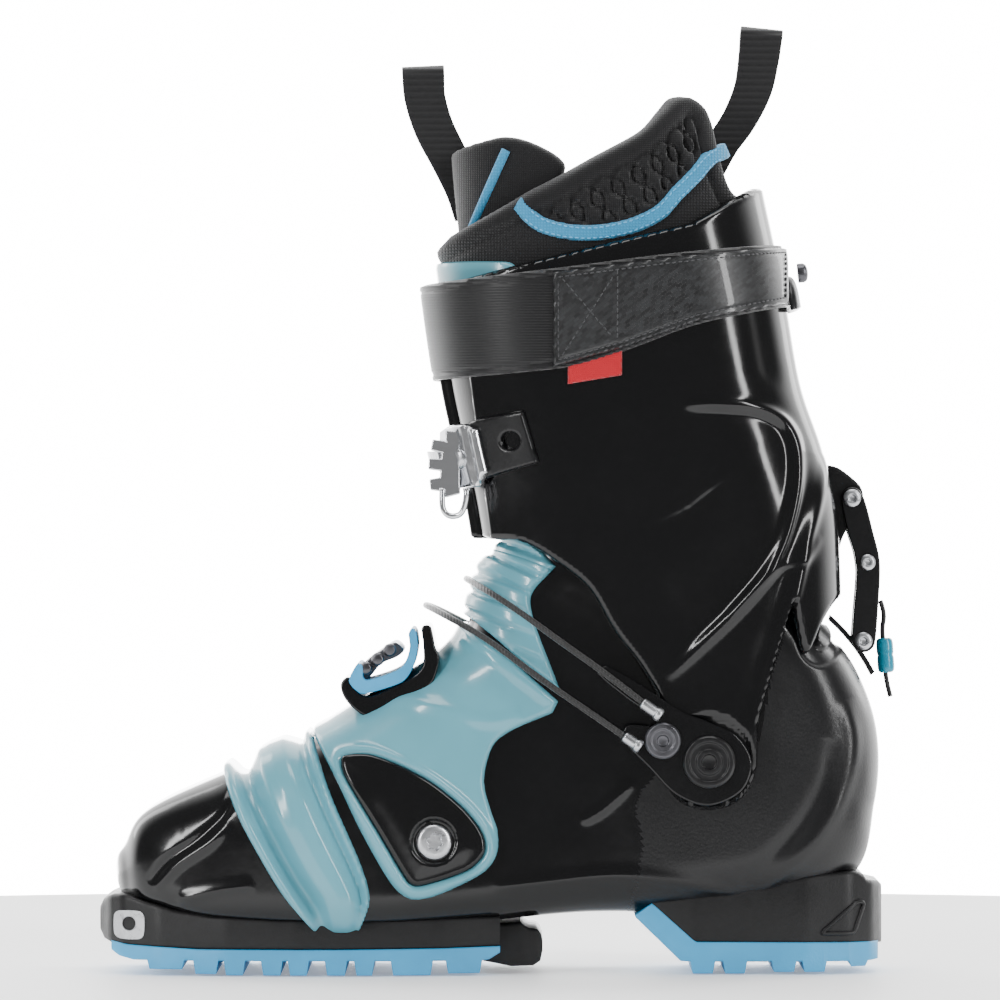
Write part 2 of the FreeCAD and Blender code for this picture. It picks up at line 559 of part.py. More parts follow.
def cable(name, points, radius):
    """Tight cable: straight runs joined by tangent arcs as large as the runs allow."""
    spots = [place(*p) for p in points]
    edges, start, radii = [], spots[0], []
    for before, corner, after in zip(spots, spots[1:], spots[2:]):
        back, ahead = before - corner, after - corner
        run = 0.45 * min(back.Length, ahead.Length)
        back.normalize()
        ahead.normalize()
        half_turn = (math.pi - back.getAngle(ahead)) / 2
        arc_radius = run / math.tan(half_turn)
        radii.append(arc_radius)
        enter, leave = corner + back * run, corner + ahead * run
        middle_way = back + ahead
        middle_way.normalize()
        centre = corner + middle_way * (arc_radius / math.cos(half_turn))
        to_corner = corner - centre
        to_corner.normalize()
        if (enter - start).Length > 1e-6:
            edges.append(Part.LineSegment(start, enter).toShape())
        edges.append(Part.Arc(enter, centre + to_corner * arc_radius, leave).toShape())
        start = leave
    edges.append(Part.LineSegment(start, spots[-1]).toShape())
    path = Part.Wire(edges)
    first = spots[1] - spots[0]
    ring = Part.Wire([Part.makeCircle(radius, spots[0], first)])
    tube = path.makePipeShell([ring], True, False)
    wanted = math.pi * radius * radius * path.Length
    print(f"{name}: length {path.Length:.1f} mm, tightest radius {min(radii):.1f} mm, "
          f"volume {tube.Volume:.1f} of {wanted:.1f} mm3")
    part = doc.addObject("Part::Feature", name)
    part.Shape = tube
    return part


UPPER_CABLE = [(52.0, -53.4, 99.5), (38.4, -53.4, 110.3), (22.2, -52.0, 121.4), (6.0, -49.0, 133.5),
               (-5.5, -38.5, 140.6), (-11.6, -20.0, 143.8), (-12.8, 0.0, 144.3), (-11.6, 20.0, 143.8),
               (-5.5, 38.5, 140.6), (6.0, 49.0, 133.0), (15.0, 53.0, 122.0)]
LOWER_CABLE = [(45.5, -53.4, 87.0), (31.5, -53.2, 96.8), (11.1, -52.0, 110.5), (-4.0, -48.0, 122.5),
               (-18.0, -38.0, 130.0), (-26.0, -20.0, 134.0), (-28.0, 0.0, 134.5), (-26.0, 20.0, 134.0),
               (-18.0, 38.0, 130.0), (-4.0, 48.0, 122.5), (8.0, 53.0, 114.0)]
upper_cable = cable("upper_cable", UPPER_CABLE, size("cable_radius"))
lower_cable = cable("lower_cable", LOWER_CABLE, size("cable_radius"))
keep(group("instep_cables", upper_cable, lower_cable))
groove_radius = size("cable_radius") + size("cable_clearance")
upper_groove = cable("upper_groove", UPPER_CABLE, groove_radius)
lower_groove = cable("lower_groove", LOWER_CABLE, groove_radius)
keep(cut("throat_cover", throat_band, upper_groove, lower_groove))


def rod(name, start, end, radius, y):
    """Round rod between two side-view spots at a fixed Y."""
    a, b = place(start[0], y, start[1]), place(end[0], y, end[1])
    part = doc.addObject("Part::Cylinder", name)
    part.Placement = Placement(a, Rotation(Vector(0, 0, 1), b - a))
    bind(part, Radius=radius)
    part.Height = (b - a).Length
    return part


keep(group("cable_ferrules", rod("upper_ferrule", (52.2, 99.3), (58.0, 95.0), "dims.cable_radius + 1", -53.4 - 0.9),
           rod("lower_ferrule", (45.6, 87.0), (50.4, 83.7), "dims.cable_radius + 1", -53.4 - 0.9)))

# ---------------------------------------------------------------- buckles on the instep
# Lower buckle: a saddle on the instep cover, its lever lying across the foot.
BUCKLE_SPOT = (-40.0, 104.0)
BUCKLE_SLOPE = 37.3
cover_top = "dims.skin_gap + dims.cover_thickness + dims.skin_gap"


def on_buckle(name, u, v, y0, y1):
    return slanted_box(name, BUCKLE_SPOT, BUCKLE_SLOPE, u, v, y0, y1)


saddle = fuse("saddle_blank", on_buckle("saddle_floor", (-13, 21), (-12, 5.6), "-25", "27"),
              on_buckle("saddle_front", (-13, -10.4), (-12, 11.5), "-23", "24"),
              on_buckle("saddle_back", (17.8, 21), (-12, 11.5), "-23", "24"))
keep(cut("lower_buckle_base", saddle, foot(cover_top)))
rack = [on_buckle("channel_floor", (-8.6, 15.8), (5.8, 7.4), "-26", "20")]
rack += [on_buckle(f"channel_tooth_{i}", (-6.5, 13.5), (7.0, 8.6), str(-24 + 5 * i), str(-21.5 + 5 * i))
         for i in range(5)]
keep(fuse("lower_buckle_channel", *rack))
lever_parts = [on_buckle("lower_lever_plate", (-9.6, 17.0), (9.4, 12.2), "-16", "27"),
               on_buckle("lower_lever_tip", (-5.0, 12.4), (11.0, 13.4), "-22", "-14")]
keep(fuse("lower_buckle_lever", *lever_parts))
knob = slanted_box("adjuster_knob", BUCKLE_SPOT, BUCKLE_SLOPE, (-3.0, 10.0), (8.9, 13.5), "-25.4", "-22.6")
keep(knob, "lower_buckle_adjuster")

# Cable lever on the lateral side, drawn closed: it points down and back from its hinge.
CABLE_HINGE = (28.0, 104.0)
lever_base = slanted_box("cable_base_blank", CABLE_HINGE, -50.0, (-13, 15), (-9, 9), "35", "48.3")
keep(cut("cable_lever_base", lever_base, foot(cover_top)))
cable_lever = fuse("cable_lever_blank",
                   slanted_box("cable_lever_plate", CABLE_HINGE, -50.0, (-1.3, 34), (-7, 7), "49.2", "52.2"),
                   slanted_box("cable_lever_grip", CABLE_HINGE, -50.0, (26, 40), (-8, 8), "50.6", "54.4"))
keep(cable_lever, "cable_lever")

# ---------------------------------------------------------------- cuff
CUFF_OUTLINE = [
    (-34.0, 249.0), (-30.0, 215.7), (-22.0, 176.0), (-14.0, 158.4), (7.4, 158.4), (20.4, 150.2),
    (32.2, 140.6), (41.4, 125.1), (51.8, 111.0), (59.0, 98.0), (58.2, 78.0), (60.5, 69.0),
    (66.5, 62.5), (76.0, 60.2), (85.5, 62.5), (91.5, 69.0), (93.8, 78.0), (94.4, 91.8),
    (100.0, 112.0), (107.3, 136.2), (160.0, 136.2), (160.0, 272.0), (101.0, 286.0), (70.0, 272.0)]
SLIT = [(-40.0, 262.0), (-38.0, 150.0), (-2.6, 150.0), (-10.6, 211.0), (-17.0, 262.0)]
SLIT_BACK = [(-38.6, 262.0), (-38.6, 150.0), (-3.8, 150.0), (-11.8, 211.0), (-18.2, 262.0)]
REAR_SLOT = [(100.0, 120.0), (160.0, 120.0), (160.0, 168.0), (100.0, 168.0)]

cuff_walls = cut("cuff_walls", cuff(), cuff("-dims.cuff_wall"))
cuff_side = common("cuff_side", cuff_walls, side_pad("cuff_outline", CUFF_OUTLINE))
front_sweep = side_pad("front_sweep", [(40.0, 60.0), (40.0, 135.0), (20.0, 200.0), (-60.0, 200.0), (-60.0, 60.0)],
                       "-(dims.cuff_low_half - dims.cuff_wall)", "dims.cuff_low_half - dims.cuff_wall")
front_trim = common("front_trim", front_sweep, ankle_drum("cuff_front_drum", "dims.cuff_front_radius"))
rear_trim = common("rear_trim", rear_sweep("cuff_rear_sweep", 4.0),
                   ankle_drum("cuff_rear_drum", "dims.cuff_rear_radius", "dims.cuff_low_half - dims.cuff_wall"))
slit = cut("slit", side_pad("slit_outline", SLIT, "-90", "-6"), side_pad("slit_back", SLIT_BACK, "-91", "-5"))
rear_slot = side_pad("rear_slot", REAR_SLOT, "-12", "12")
ear_hole = across("ear_hole", ANKLE, "dims.bolt_radius + dims.bolt_clearance", "-70", "70")
keep(cut("cuff_shell", cuff_side, front_trim, rear_trim, rear_slot, slit, ear_hole))

TONGUE_OUTLINE = [(-60.0, 262.0), (-60.0, 120.0), (2.0, 120.0), (16.0, 163.0), (14.0, 200.0), (6.0, 259.0)]
tongue_out = "-dims.cuff_wall - dims.lining_gap"
tongue_in = tongue_out + " - dims.tongue_thickness"
tongue_skin = cut("tongue_skin", cuff(tongue_out), cuff(tongue_in))
tongue_blank = common("tongue_blank", tongue_skin, side_pad("tongue_outline", TONGUE_OUTLINE))
keep(cut("tongue", tongue_blank, ankle_drum("tongue_drum", "dims.cuff_front_radius")))

# ---------------------------------------------------------------- liner in the cuff
LINER_OUTLINE = [
    (-40.0, 268.0), (-25.3, 270.1), (-8.3, 277.5), (15.1, 288.1), (34.0, 298.7), (51.1, 308.2),
    (61.8, 316.7), (68.1, 321.5), (74.6, 322.5), (80.9, 318.9), (84.1, 312.5), (92.0, 287.9),
    (112.0, 285.0), (112.0, 122.0), (-40.0, 122.0)]
LINER_TONGUE_OUTLINE = [(-30.0, 303.0), (-8.0, 305.6), (11.8, 304.1), (23.7, 296.0), (16.0, 270.0),
                        (14.0, 200.0), (10.0, 120.0), (-30.0, 120.0)]
liner_out = tongue_in + " - dims.liner_gap"
liner_in = liner_out + " - dims.liner_thickness"
cuff_liner = common("cuff_liner_blank", cut("cuff_liner_skin", collar(liner_out), collar(liner_in)),
                    side_pad("cuff_liner_outline", LINER_OUTLINE))
keep(cut("liner_cuff", cuff_liner, ankle_drum("cuff_liner_drum", "dims.cuff_front_radius")))
pad_out = liner_in + " - dims.liner_gap"
pad_in = pad_out + " - dims.liner_tongue_thickness"
liner_tongue = common("liner_tongue_blank", cut("liner_tongue_skin", collar(pad_out), collar(pad_in)),
                      side_pad("liner_tongue_outline", LINER_TONGUE_OUTLINE))
keep(cut("liner_tongue", liner_tongue, ankle_drum("liner_tongue_drum", "dims.cuff_front_radius")))


def pull_loop(name, outline, top, y_mid):
    """Webbing loop seen edge-on from the front: two legs joined over the top."""
    half = "dims.loop_half"
    blank = side_pad(f"{name}_blank", outline, f"{y_mid} - {half}", f"{y_mid} + {half}")
    hollow = side_pad(f"{name}_hollow", [(-60, 280), (-60, top), (130, top), (130, 280)],
                      f"{y_mid} - {half} + dims.webbing", f"{y_mid} + {half} - dims.webbing")
    return cut(name, blank, hollow)


FRONT_LOOP = [(-36.1, 332.0), (-35.0, 325.0), (-28.0, 303.0), (-20.6, 287.0), (-16.8, 287.0), (-15.4, 308.0),
              (-20.5, 325.0), (-20.5, 332.0)]
REAR_LOOP = [(88.8, 345.4), (87.3, 336.9), (84.6, 320.0), (80.5, 309.0), (83.0, 300.0), (93.6, 312.6),
             (101.0, 325.2), (103.6, 337.1), (104.3, 347.5)]
keep(cut("front_pull_loop", pull_loop("front_loop_blank", FRONT_LOOP, 330.4, "0"), collar(pad_out)))
keep(cut("rear_pull_loop", pull_loop("rear_loop_blank", REAR_LOOP, 343.6, "0"), collar(liner_out)))

# ---------------------------------------------------------------- power strap
STRAP_OUTLINE = [(-40.0, 250.7), (-28.5, 252.0), (19.2, 257.3), (61.8, 262.7), (104.3, 266.8), (125.0, 267.5),
                 (125.0, 245.5), (109.5, 244.6), (72.4, 237.2), (45.9, 227.6), (23.6, 221.3), (-26.3, 216.9),
                 (-40.0, 216.0)]
PATCH_OUTLINE = [(19.2, 256.0), (61.8, 261.4), (102.5, 265.4), (102.5, 244.6), (72.4, 238.6), (45.9, 229.0),
                 (19.2, 221.6)]
KEEPER_OUTLINE = [(103.0, 267.6), (110.5, 268.0), (111.5, 243.5), (104.0, 242.2)]
TAG_OUTLINE = [(24.6, 223.0), (44.3, 228.6), (44.3, 218.6), (24.6, 215.3)]
strap_in = "0.3"
strap_out = "0.3 + dims.strap_thickness"
strap_skin = cut("strap_skin", cuff(strap_out), cuff(strap_in))
keep(common("power_strap", strap_skin, side_pad("strap_outline", STRAP_OUTLINE)))
patch_out = "0.3 + dims.strap_thickness + 0.2 + dims.patch_thickness"
patch_skin = cut("patch_skin", cuff(patch_out), cuff("0.3 + dims.strap_thickness + 0.2"))
keep(common("strap_patch", patch_skin, side_pad("patch_outline", PATCH_OUTLINE, "-90", "0")))
keeper_skin = cut("keeper_skin", cuff(patch_out + " + 1.2"), cuff("0.3 + dims.strap_thickness + 0.2"))
keep(common("strap_keeper", keeper_skin, side_pad("keeper_outline", KEEPER_OUTLINE, "-60", "60")))
tag_blank = common("tag_blank", strap_skin, side_pad("tag_outline", TAG_OUTLINE, "-90", "0"))
keep(cut("strap_tag", tag_blank, side_pad("tag_trim", STRAP_OUTLINE)))
rivet = doc.addObject("Part::Cylinder", "rivet_blank")
rivet.Placement = Placement(Vector(), Rotation(Vector(0, 1, 0), 90))
bind(rivet, Radius="3.5", Height="4.6", Placement__Base__x=f"{gx(109.2)}", Placement__Base__y="0",
     Placement__Base__z=gz(255.0))
rivet.Label = "rivet_blank"
keep(cut("strap_rivet_cap", rivet, cuff(patch_out + " + 1.3")), "strap_rivet")

# ---------------------------------------------------------------- cuff buckle
# Ladder and its base wrap the medial front corner; the lever sits on the lateral side.
LADDER_Z = (174.5, 201.5)
plate_skin = cut("plate_skin", cuff("5.4"), cuff("3.0"))
base_skin = cut("base_skin", cuff("2.8"), cuff("0.2"))
LADDER_BASE = [(-22.0, 197.5), (-7.0, 203.1), (8.7, 205.9), (14.4, 186.9), (3.0, 183.5), (-20.0, 175.5)]
LADDER_PLATE = [(-30.0, 199.5), (-10.1, 201.7), (-5.8, 199.6), (-2.2, 184.1), (-4.4, 178.7), (-14.6, 177.0),
                (-30.0, 176.5)]
keep(common("ladder_base", base_skin, side_pad("ladder_base_outline", LADDER_BASE, "-90", "-4")))
ladder = common("ladder_blank", plate_skin, side_pad("ladder_outline", LADDER_PLATE, "-90", "-4"))
LADDER_SCREW = (-10.4, 189.4)
keep(ladder, "cuff_ladder_plate")
keep(common("ladder_screw", cut("ladder_screw_skin", cuff("7.2"), cuff("5.6")),
            across("ladder_screw_core", LADDER_SCREW, "4.0", "-90", "-4")))

lateral_base = common("lateral_base_blank", cut("lateral_base_skin", cuff("3.4"), cuff("0.2")),
                      side_pad("lateral_base_outline", [(2.0, 202.0), (44.0, 196.0), (42.0, 176.0), (0.0, 178.0)],
                               "4", "90"))
keep(lateral_base, "cuff_buckle_base")
CUFF_LEVER = [(13.0, 198.0), (58.0, 190.0), (72.0, 185.0), (71.0, 174.0), (56.0, 174.0), (13.0, 178.0)]
lever_skin = cut("lever_skin", cuff("7.4"), cuff("3.9"))
keep(common("cuff_buckle_lever", lever_skin, side_pad("cuff_lever_outline", CUFF_LEVER, "4", "90")))
BAIL_BAND = [(19.7, 191.0), (19.7, 186.6), (-50.0, 186.6), (-50.0, 191.0)]
bail_skin = cut("bail_skin", cuff("10.2"), cuff("7.8"))
bail = common("bail_blank", bail_skin, side_pad("bail_band", BAIL_BAND, "-34", "90"))
keep(bail, "cuff_buckle_bail")

# ---------------------------------------------------------------- ski / walk lock
BRACKET_OUTLINE = [(121.5, 183.0), (125.0, 184.5), (133.0, 177.5), (132.5, 170.5), (128.4, 166.5), (124.8, 170.0),
                   (123.2, 176.0)]
lock_half = "dims.lock_inner_half"
outer_half = "dims.lock_inner_half + dims.lock_plate"
bracket = side_pad("bracket_blank", BRACKET_OUTLINE, f"-({lock_half}) + 0.4", f"{lock_half} - 0.4")
bracket_clear = cut("bracket_clear", bracket, cuff("0.1"))
keep(cut("lock_bracket", bracket_clear, across("bracket_hole", LOCK_TOP, "dims.lock_pin_radius + 0.06", "-20", "20")))
ARM_PLATE = [(126.6, 175.4), (129.5, 177.6), (133.6, 175.0), (140.2, 149.3), (138.2, 119.6), (134.0, 117.6),
             (130.2, 119.8), (130.6, 127.4), (131.6, 146.3), (128.6, 160.0)]
for_side = {"m": (f"-({outer_half})", f"-({lock_half})"), "l": (lock_half, outer_half)}
plates = [side_pad(f"lock_plate_{side}", ARM_PLATE, low, high) for side, (low, high) in for_side.items()]
spacer = across("lock_spacer", (135.4, 150.2), "2.6", f"-({lock_half})", lock_half)
pins = [across("lock_top_pin", LOCK_TOP, "dims.lock_pin_radius", f"-({outer_half}) - 1.2", f"{outer_half} + 1.2"),
        across("lock_low_pin", LOCK_LOW, "dims.lock_pin_radius", f"-({outer_half}) - 1.2", f"{outer_half} + 1.2"),
        across("lock_mid_screw", (135.4, 150.2), "3.1", f"-({outer_half}) - 1.0", f"-({outer_half})")]
keep(fuse("lock_arm", *plates, spacer, *pins))
CATCH_OUTLINE = [(118.0, 114.0), (136.5, 108.0), (141.0, 112.0), (136.0, 132.0), (122.0, 131.0)]
catch_ring = cut("catch_ring", ankle_drum("catch_outer", "70.0", "3.6"), ankle_drum("catch_inner", "68.2", "4.6"))
keep(common("lock_catch", catch_ring, side_pad("catch_outline", CATCH_OUTLINE)))

# ---------------------------------------------------------------- release cord
CORD_ROUTE = [(140.6, 0.0, 136.0), (142.4, 0.0, 131.5), (141.2, 0.6, 125.5), (142.0, 0.0, 119.5), (142.6, -0.5, 113.0),
              (142.6, 0.0, 107.0), (144.4, 0.0, 100.5)]
cord = cable("release_cord_core", CORD_ROUTE, size("cord_radius"))
bead_blank = rod("bead_blank", (142.1, 122.2), (142.9, 109.4), "dims.bead_radius", 0.0)
bead_hole = rod("bead_hole", (142.1, 122.2), (142.9, 109.4), "dims.cord_radius + 0.15", 0.0)
keep(cut("cord_bead", bead_blank, cord))
keep(cord, "release_cord")


# ---------------------------------------------------------------- check and write
doc.recompute()
faults = [f"{o.Name}: {o.State}" for o in doc.Objects if "Invalid" in o.State or "Error" in o.State]
for label, part in NODES.items():
    if part.Shape.isNull() or not part.Shape.isValid() or part.Shape.Volume <= 0:
        faults.append(f"{label}: null or invalid shape")
if faults:
    raise RuntimeError("; ".join(faults))
for label, part in NODES.items():
    part.Shape.exportStep(f"parts/{label}.step")
print(f"{len(NODES)} sub-parts written")
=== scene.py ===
import math

import bmesh
import bpy
import numpy as np
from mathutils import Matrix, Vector


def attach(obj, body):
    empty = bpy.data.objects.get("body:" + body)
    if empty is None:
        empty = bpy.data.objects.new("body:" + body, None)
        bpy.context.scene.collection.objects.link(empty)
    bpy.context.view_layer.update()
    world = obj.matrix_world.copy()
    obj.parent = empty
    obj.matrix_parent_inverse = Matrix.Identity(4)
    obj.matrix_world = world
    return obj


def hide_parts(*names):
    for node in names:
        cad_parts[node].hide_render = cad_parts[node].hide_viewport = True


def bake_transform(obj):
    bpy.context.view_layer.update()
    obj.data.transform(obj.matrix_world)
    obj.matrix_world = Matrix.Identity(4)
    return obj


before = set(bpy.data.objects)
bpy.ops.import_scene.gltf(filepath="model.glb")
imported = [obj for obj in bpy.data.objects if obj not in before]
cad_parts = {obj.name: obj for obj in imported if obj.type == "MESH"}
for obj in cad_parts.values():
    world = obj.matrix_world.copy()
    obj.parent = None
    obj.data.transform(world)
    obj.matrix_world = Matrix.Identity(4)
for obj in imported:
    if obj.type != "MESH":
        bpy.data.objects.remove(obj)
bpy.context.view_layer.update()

MM = 0.001
SHIFT = 2.0              # millimetres from the drawing's zero to the frame's origin, along X

# Side-view places are (X, Z) in millimetres, in the same drawing as the CAD's.
ANKLE = (76.0, 78.0)     # the cuff's pivot
SCREW = (-24.8, 48.8)    # the side cover's screw
SOCKET = (-135.5, 18.4)  # the toe's pin socket
SIDES = ((-1, "medial"), (1, "lateral"))
BAND_SCALE = 0.314       # a Wave texture's scale for one band per metre


# ------------------------------------------------------------------ materials
def material(name, colour, rough, metal=0.0, coat=0.0, spec=0.5, sheen=0.0):
    m = bpy.data.materials.new(name)
    m.use_nodes = True
    shader = m.node_tree.nodes["Principled BSDF"]
    shader.inputs["Base Color"].default_value = (*colour, 1)
    shader.inputs["Roughness"].default_value = rough
    shader.inputs["Metallic"].default_value = metal
    shader.inputs["Coat Weight"].default_value = coat
    shader.inputs["Coat Roughness"].default_value = 0.06
    shader.inputs["Specular IOR Level"].default_value = spec
    shader.inputs["Sheen Weight"].default_value = sheen
    return m, m.node_tree, shader


def coords(tree, scale, rotation=(0, 0, 0)):
    place = tree.nodes.new("ShaderNodeTexCoord")
    mapping = tree.nodes.new("ShaderNodeMapping")
    mapping.inputs["Scale"].default_value = scale if isinstance(scale, tuple) else (scale,) * 3
    mapping.inputs["Rotation"].default_value = rotation
    tree.links.new(place.outputs["Object"], mapping.inputs["Vector"])
    return mapping.outputs["Vector"]


def noise(tree, scale, detail, roughness=0.5):
    n = tree.nodes.new("ShaderNodeTexNoise")
    n.inputs["Scale"].default_value = 1.0
    n.inputs["Detail"].default_value = detail
    n.inputs["Roughness"].default_value = roughness
    tree.links.new(coords(tree, scale), n.inputs["Vector"])
    return n.outputs["Fac"]


def ribs(tree, count, direction, distortion):
    """Parallel ribs, count per metre."""
    wave = tree.nodes.new("ShaderNodeTexWave")
    wave.bands_direction = direction
    wave.inputs["Scale"].default_value = count * BAND_SCALE
    wave.inputs["Distortion"].default_value = distortion
    tree.links.new(coords(tree, 1.0), wave.inputs["Vector"])
    return wave


def combine(tree, operation, first, second):
    """Math node of two sources; a number is set on its socket."""
    n = tree.nodes.new("ShaderNodeMath")
    n.operation = operation
    for place, source in zip(n.inputs, (first, second)):
        if isinstance(source, float):
            place.default_value = source
        else:
            tree.links.new(source, place)
    return n


def ramp(tree, source, low, high, low_at=0.3, high_at=0.7):
    r = tree.nodes.new("ShaderNodeValToRGB")
    r.color_ramp.elements[0].position, r.color_ramp.elements[1].position = low_at, high_at
    r.color_ramp.elements[0].color, r.color_ramp.elements[1].color = low, high
    tree.links.new(source, r.inputs["Fac"])
    return r.outputs["Color"]


def add_bump(tree, shader, height, strength, distance):
    bump = tree.nodes.new("ShaderNodeBump")
    bump.inputs["Strength"].default_value = strength
    bump.inputs["Distance"].default_value = distance
    tree.links.new(height, bump.inputs["Height"])
    previous = shader.inputs["Normal"].links
    if previous:
        tree.links.new(previous[0].from_socket, bump.inputs["Normal"])
    tree.links.new(bump.outputs["Normal"], shader.inputs["Normal"])


def grey(v):
    return (v, v, v, 1)


def brighter(colour, share):
    return tuple(min(1.0, c * share) for c in colour) + (1,)


def plastic(name, colour, rough, coat, peel=0.0002, grain=260.0, spread=0.06, scuff=0.25, spec=0.5):
    """Moulded plastic: slight colour drift, a faint flow texture and handling marks in the gloss."""
    m, tree, shader = material(name, colour, rough, coat=coat, spec=spec)
    drift = ramp(tree, noise(tree, 35.0, 3.0), brighter(colour, 1 - spread), brighter(colour, 1 + spread))
    tree.links.new(drift, shader.inputs["Base Color"])
    marks = noise(tree, (60.0, 180.0, 60.0), 6.0, 0.7)
    gloss = ramp(tree, marks, grey(rough * (1 - scuff)), grey(rough * (1 + scuff)), 0.35, 0.75)
    tree.links.new(gloss, shader.inputs["Roughness"])
    add_bump(tree, shader, noise(tree, grain, 2.0), 0.25, peel)
    return m


def metal(name, colour, rough, scratch=700.0):
    """Metal brushed along one direction."""
    m, tree, shader = material(name, colour, rough, metal=1.0)
    lines = noise(tree, (scratch * 0.12, scratch, scratch * 0.5), 4.0)
    tree.links.new(ramp(tree, lines, grey(rough * 0.7), grey(rough * 1.4)), shader.inputs["Roughness"])
    add_bump(tree, shader, lines, 0.08, 0.0002)
    return m


def cloth(tree, shader, colour, pattern, fuzz, fuzz_share, light, low_at, high_at, strength, depth):
    """Colours and raises a thread pattern with some fuzz in it: the raised threads are painted lighter than
    the gaps, a painted highlight on the crests and painted shade between them, over a fuzz tone that varies
    at random.
    """
    total = combine(tree, "MULTIPLY_ADD", noise(tree, fuzz, 5.0), fuzz_share)
    tree.links.new(pattern, total.inputs[2])
    # The colour is lighter where the threads stand up: painted highlight on the crests, painted shade in the
    # gaps.
    crest_highlight_tint = ramp(tree, total.outputs[0], (*colour, 1), brighter(colour, light), low_at, high_at)
    tree.links.new(crest_highlight_tint, shader.inputs["Base Color"])
    add_bump(tree, shader, total.outputs[0], strength, depth)


def woven(name, colour, rough, count, depth=0.0003, light=1.8):
    """Plain weave from two crossed sets of ribs; count is ribs per metre."""
    m, tree, shader = material(name, colour, rough, sheen=0.3, spec=0.25)
    sets = [ribs(tree, count, direction, 0.6) for direction in ("X", "Z")]
    for wave in sets:
        wave.inputs["Detail Scale"].default_value = 8.0
    weave = combine(tree, "MULTIPLY", sets[0].outputs["Fac"], sets[1].outputs["Fac"])
    cloth(tree, shader, colour, weave.outputs[0], 900.0, 0.45, light, 0.25, 1.0, 0.6, depth)
    return m


def ribbed(name, colour, rough, count, direction="Z", depth=0.0003, light=1.7):
    """Webbing: one strong set of ribs with a little fuzz; count is ribs per metre."""
    m, tree, shader = material(name, colour, rough, sheen=0.25, spec=0.3)
    wave = ribs(tree, count, direction, 0.4)
    cloth(tree, shader, colour, wave.outputs["Fac"], 1100.0, 0.4, light, 0.2, 1.2, 0.5, depth)
    return m


def twill(name, colour, high_colour, rough):
    """Coated carbon-look twill: diagonal cells, alternately light and dark."""
    m, tree, shader = material(name, colour, rough, coat=0.35, spec=0.5)
    brick = tree.nodes.new("ShaderNodeTexBrick")
    brick.offset = 0.5
    brick.inputs["Scale"].default_value = 1.0
    brick.inputs["Mortar Size"].default_value = 0.03
    brick.inputs["Brick Width"].default_value = 1.0
    brick.inputs["Row Height"].default_value = 0.5
    brick.inputs["Color1"].default_value = (*colour, 1)
    brick.inputs["Color2"].default_value = (*high_colour, 1)
    brick.inputs["Mortar"].default_value = (0.006, 0.006, 0.006, 1)
    tree.links.new(coords(tree, 420.0, (math.radians(90), 0, math.radians(38))), brick.inputs["Vector"])
    tree.links.new(brick.outputs["Color"], shader.inputs["Base Color"])
    add_bump(tree, shader, brick.outputs["Fac"], 0.4, 0.0003)
    add_bump(tree, shader, noise(tree, (300.0, 300.0, 2600.0), 3.0), 0.2, 0.0002)
    return m


MATS = {
    "shell": plastic("shell_gloss_black", (0.003, 0.0031, 0.0035), 0.15, 0.0, peel=0.00015, grain=140.0,
                     spec=0.42),
    "satin": plastic("shell_satin_black", (0.0042, 0.0042, 0.0048), 0.3, 0.0, peel=0.0002, grain=900.0,
                     spec=0.42, scuff=0.08),
    "matte": plastic("frame_matte_black", (0.0035, 0.0035, 0.004), 0.46, 0.0, peel=0.0003, grain=1500.0,
                     spec=0.35),
    "aqua": plastic("cover_aqua", (0.11, 0.335, 0.41), 0.22, 0.3, peel=0.00015, grain=200.0, spread=0.04),
    "blue": plastic("sole_blue_rubber", (0.035, 0.31, 0.58), 0.5, 0.0, peel=0.0003, grain=1200.0, spread=0.1),
    "teal": plastic("bead_teal", (0.0, 0.24, 0.36), 0.3, 0.3),
    "steel": metal("brushed_steel", (0.56, 0.57, 0.59), 0.32),
    "dark_steel": metal("dark_steel", (0.11, 0.11, 0.12), 0.36),
    "chrome": metal("buckle_chrome", (0.74, 0.75, 0.77), 0.13),
    "knit": woven("liner_knit", (0.004, 0.004, 0.0045), 0.85, 1500.0, depth=0.0003),
    "mesh": woven("liner_mesh", (0.005, 0.005, 0.0055), 0.8, 900.0, depth=0.0005, light=2.2),
    "strap": ribbed("strap_satin", (0.0045, 0.0045, 0.005), 0.42, 1000.0, "Z", depth=0.00012, light=1.5),
    "webbing": ribbed("loop_webbing", (0.005, 0.005, 0.0055), 0.7, 420.0, "Z", depth=0.0006),
    "patch": twill("strap_twill", (0.004, 0.004, 0.0045), (0.022, 0.023, 0.025), 0.38),
    "thread": ribbed("thread_grey", (0.035, 0.036, 0.038), 0.6, 2500.0, "X", depth=0.0001),
    "blue_thread": ribbed("thread_blue", (0.09, 0.36, 0.62), 0.6, 2500.0, "X", depth=0.0001),
    "red": woven("tag_red", (0.42, 0.004, 0.012), 0.6, 1400.0, depth=0.00015, light=1.2),
    "piping": woven("piping_blue", (0.03, 0.25, 0.46), 0.65, 900.0, depth=0.0003, light=1.25),
    "cable": ribbed("cable_sheath", (0.012, 0.012, 0.012), 0.35, 900.0, "X", depth=0.0002),
}


# ------------------------------------------------------------------ meshes and curves
def link(name, mesh):
    piece = bpy.data.objects.new(name, mesh)
    bpy.context.scene.collection.objects.link(piece)
    return piece


def make(name, verts, faces, mat, body, replaces=()):
    mesh = bpy.data.meshes.new(name)
    shifted = (np.asarray(verts, float) + np.array([SHIFT, 0, 0])) * MM
    mesh.from_pydata(shifted.tolist(), [], [list(map(int, f)) for f in faces])
    mesh.update()
    mesh.polygons.foreach_set("use_smooth", [True] * len(mesh.polygons))
    mesh.materials.append(MATS[mat])
    return finish_piece(link(name, mesh), body, replaces)


def finish_piece(piece, body, replaces=()):
    if body:
        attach(piece, body)
    if replaces:
        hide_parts(*replaces)
    return piece


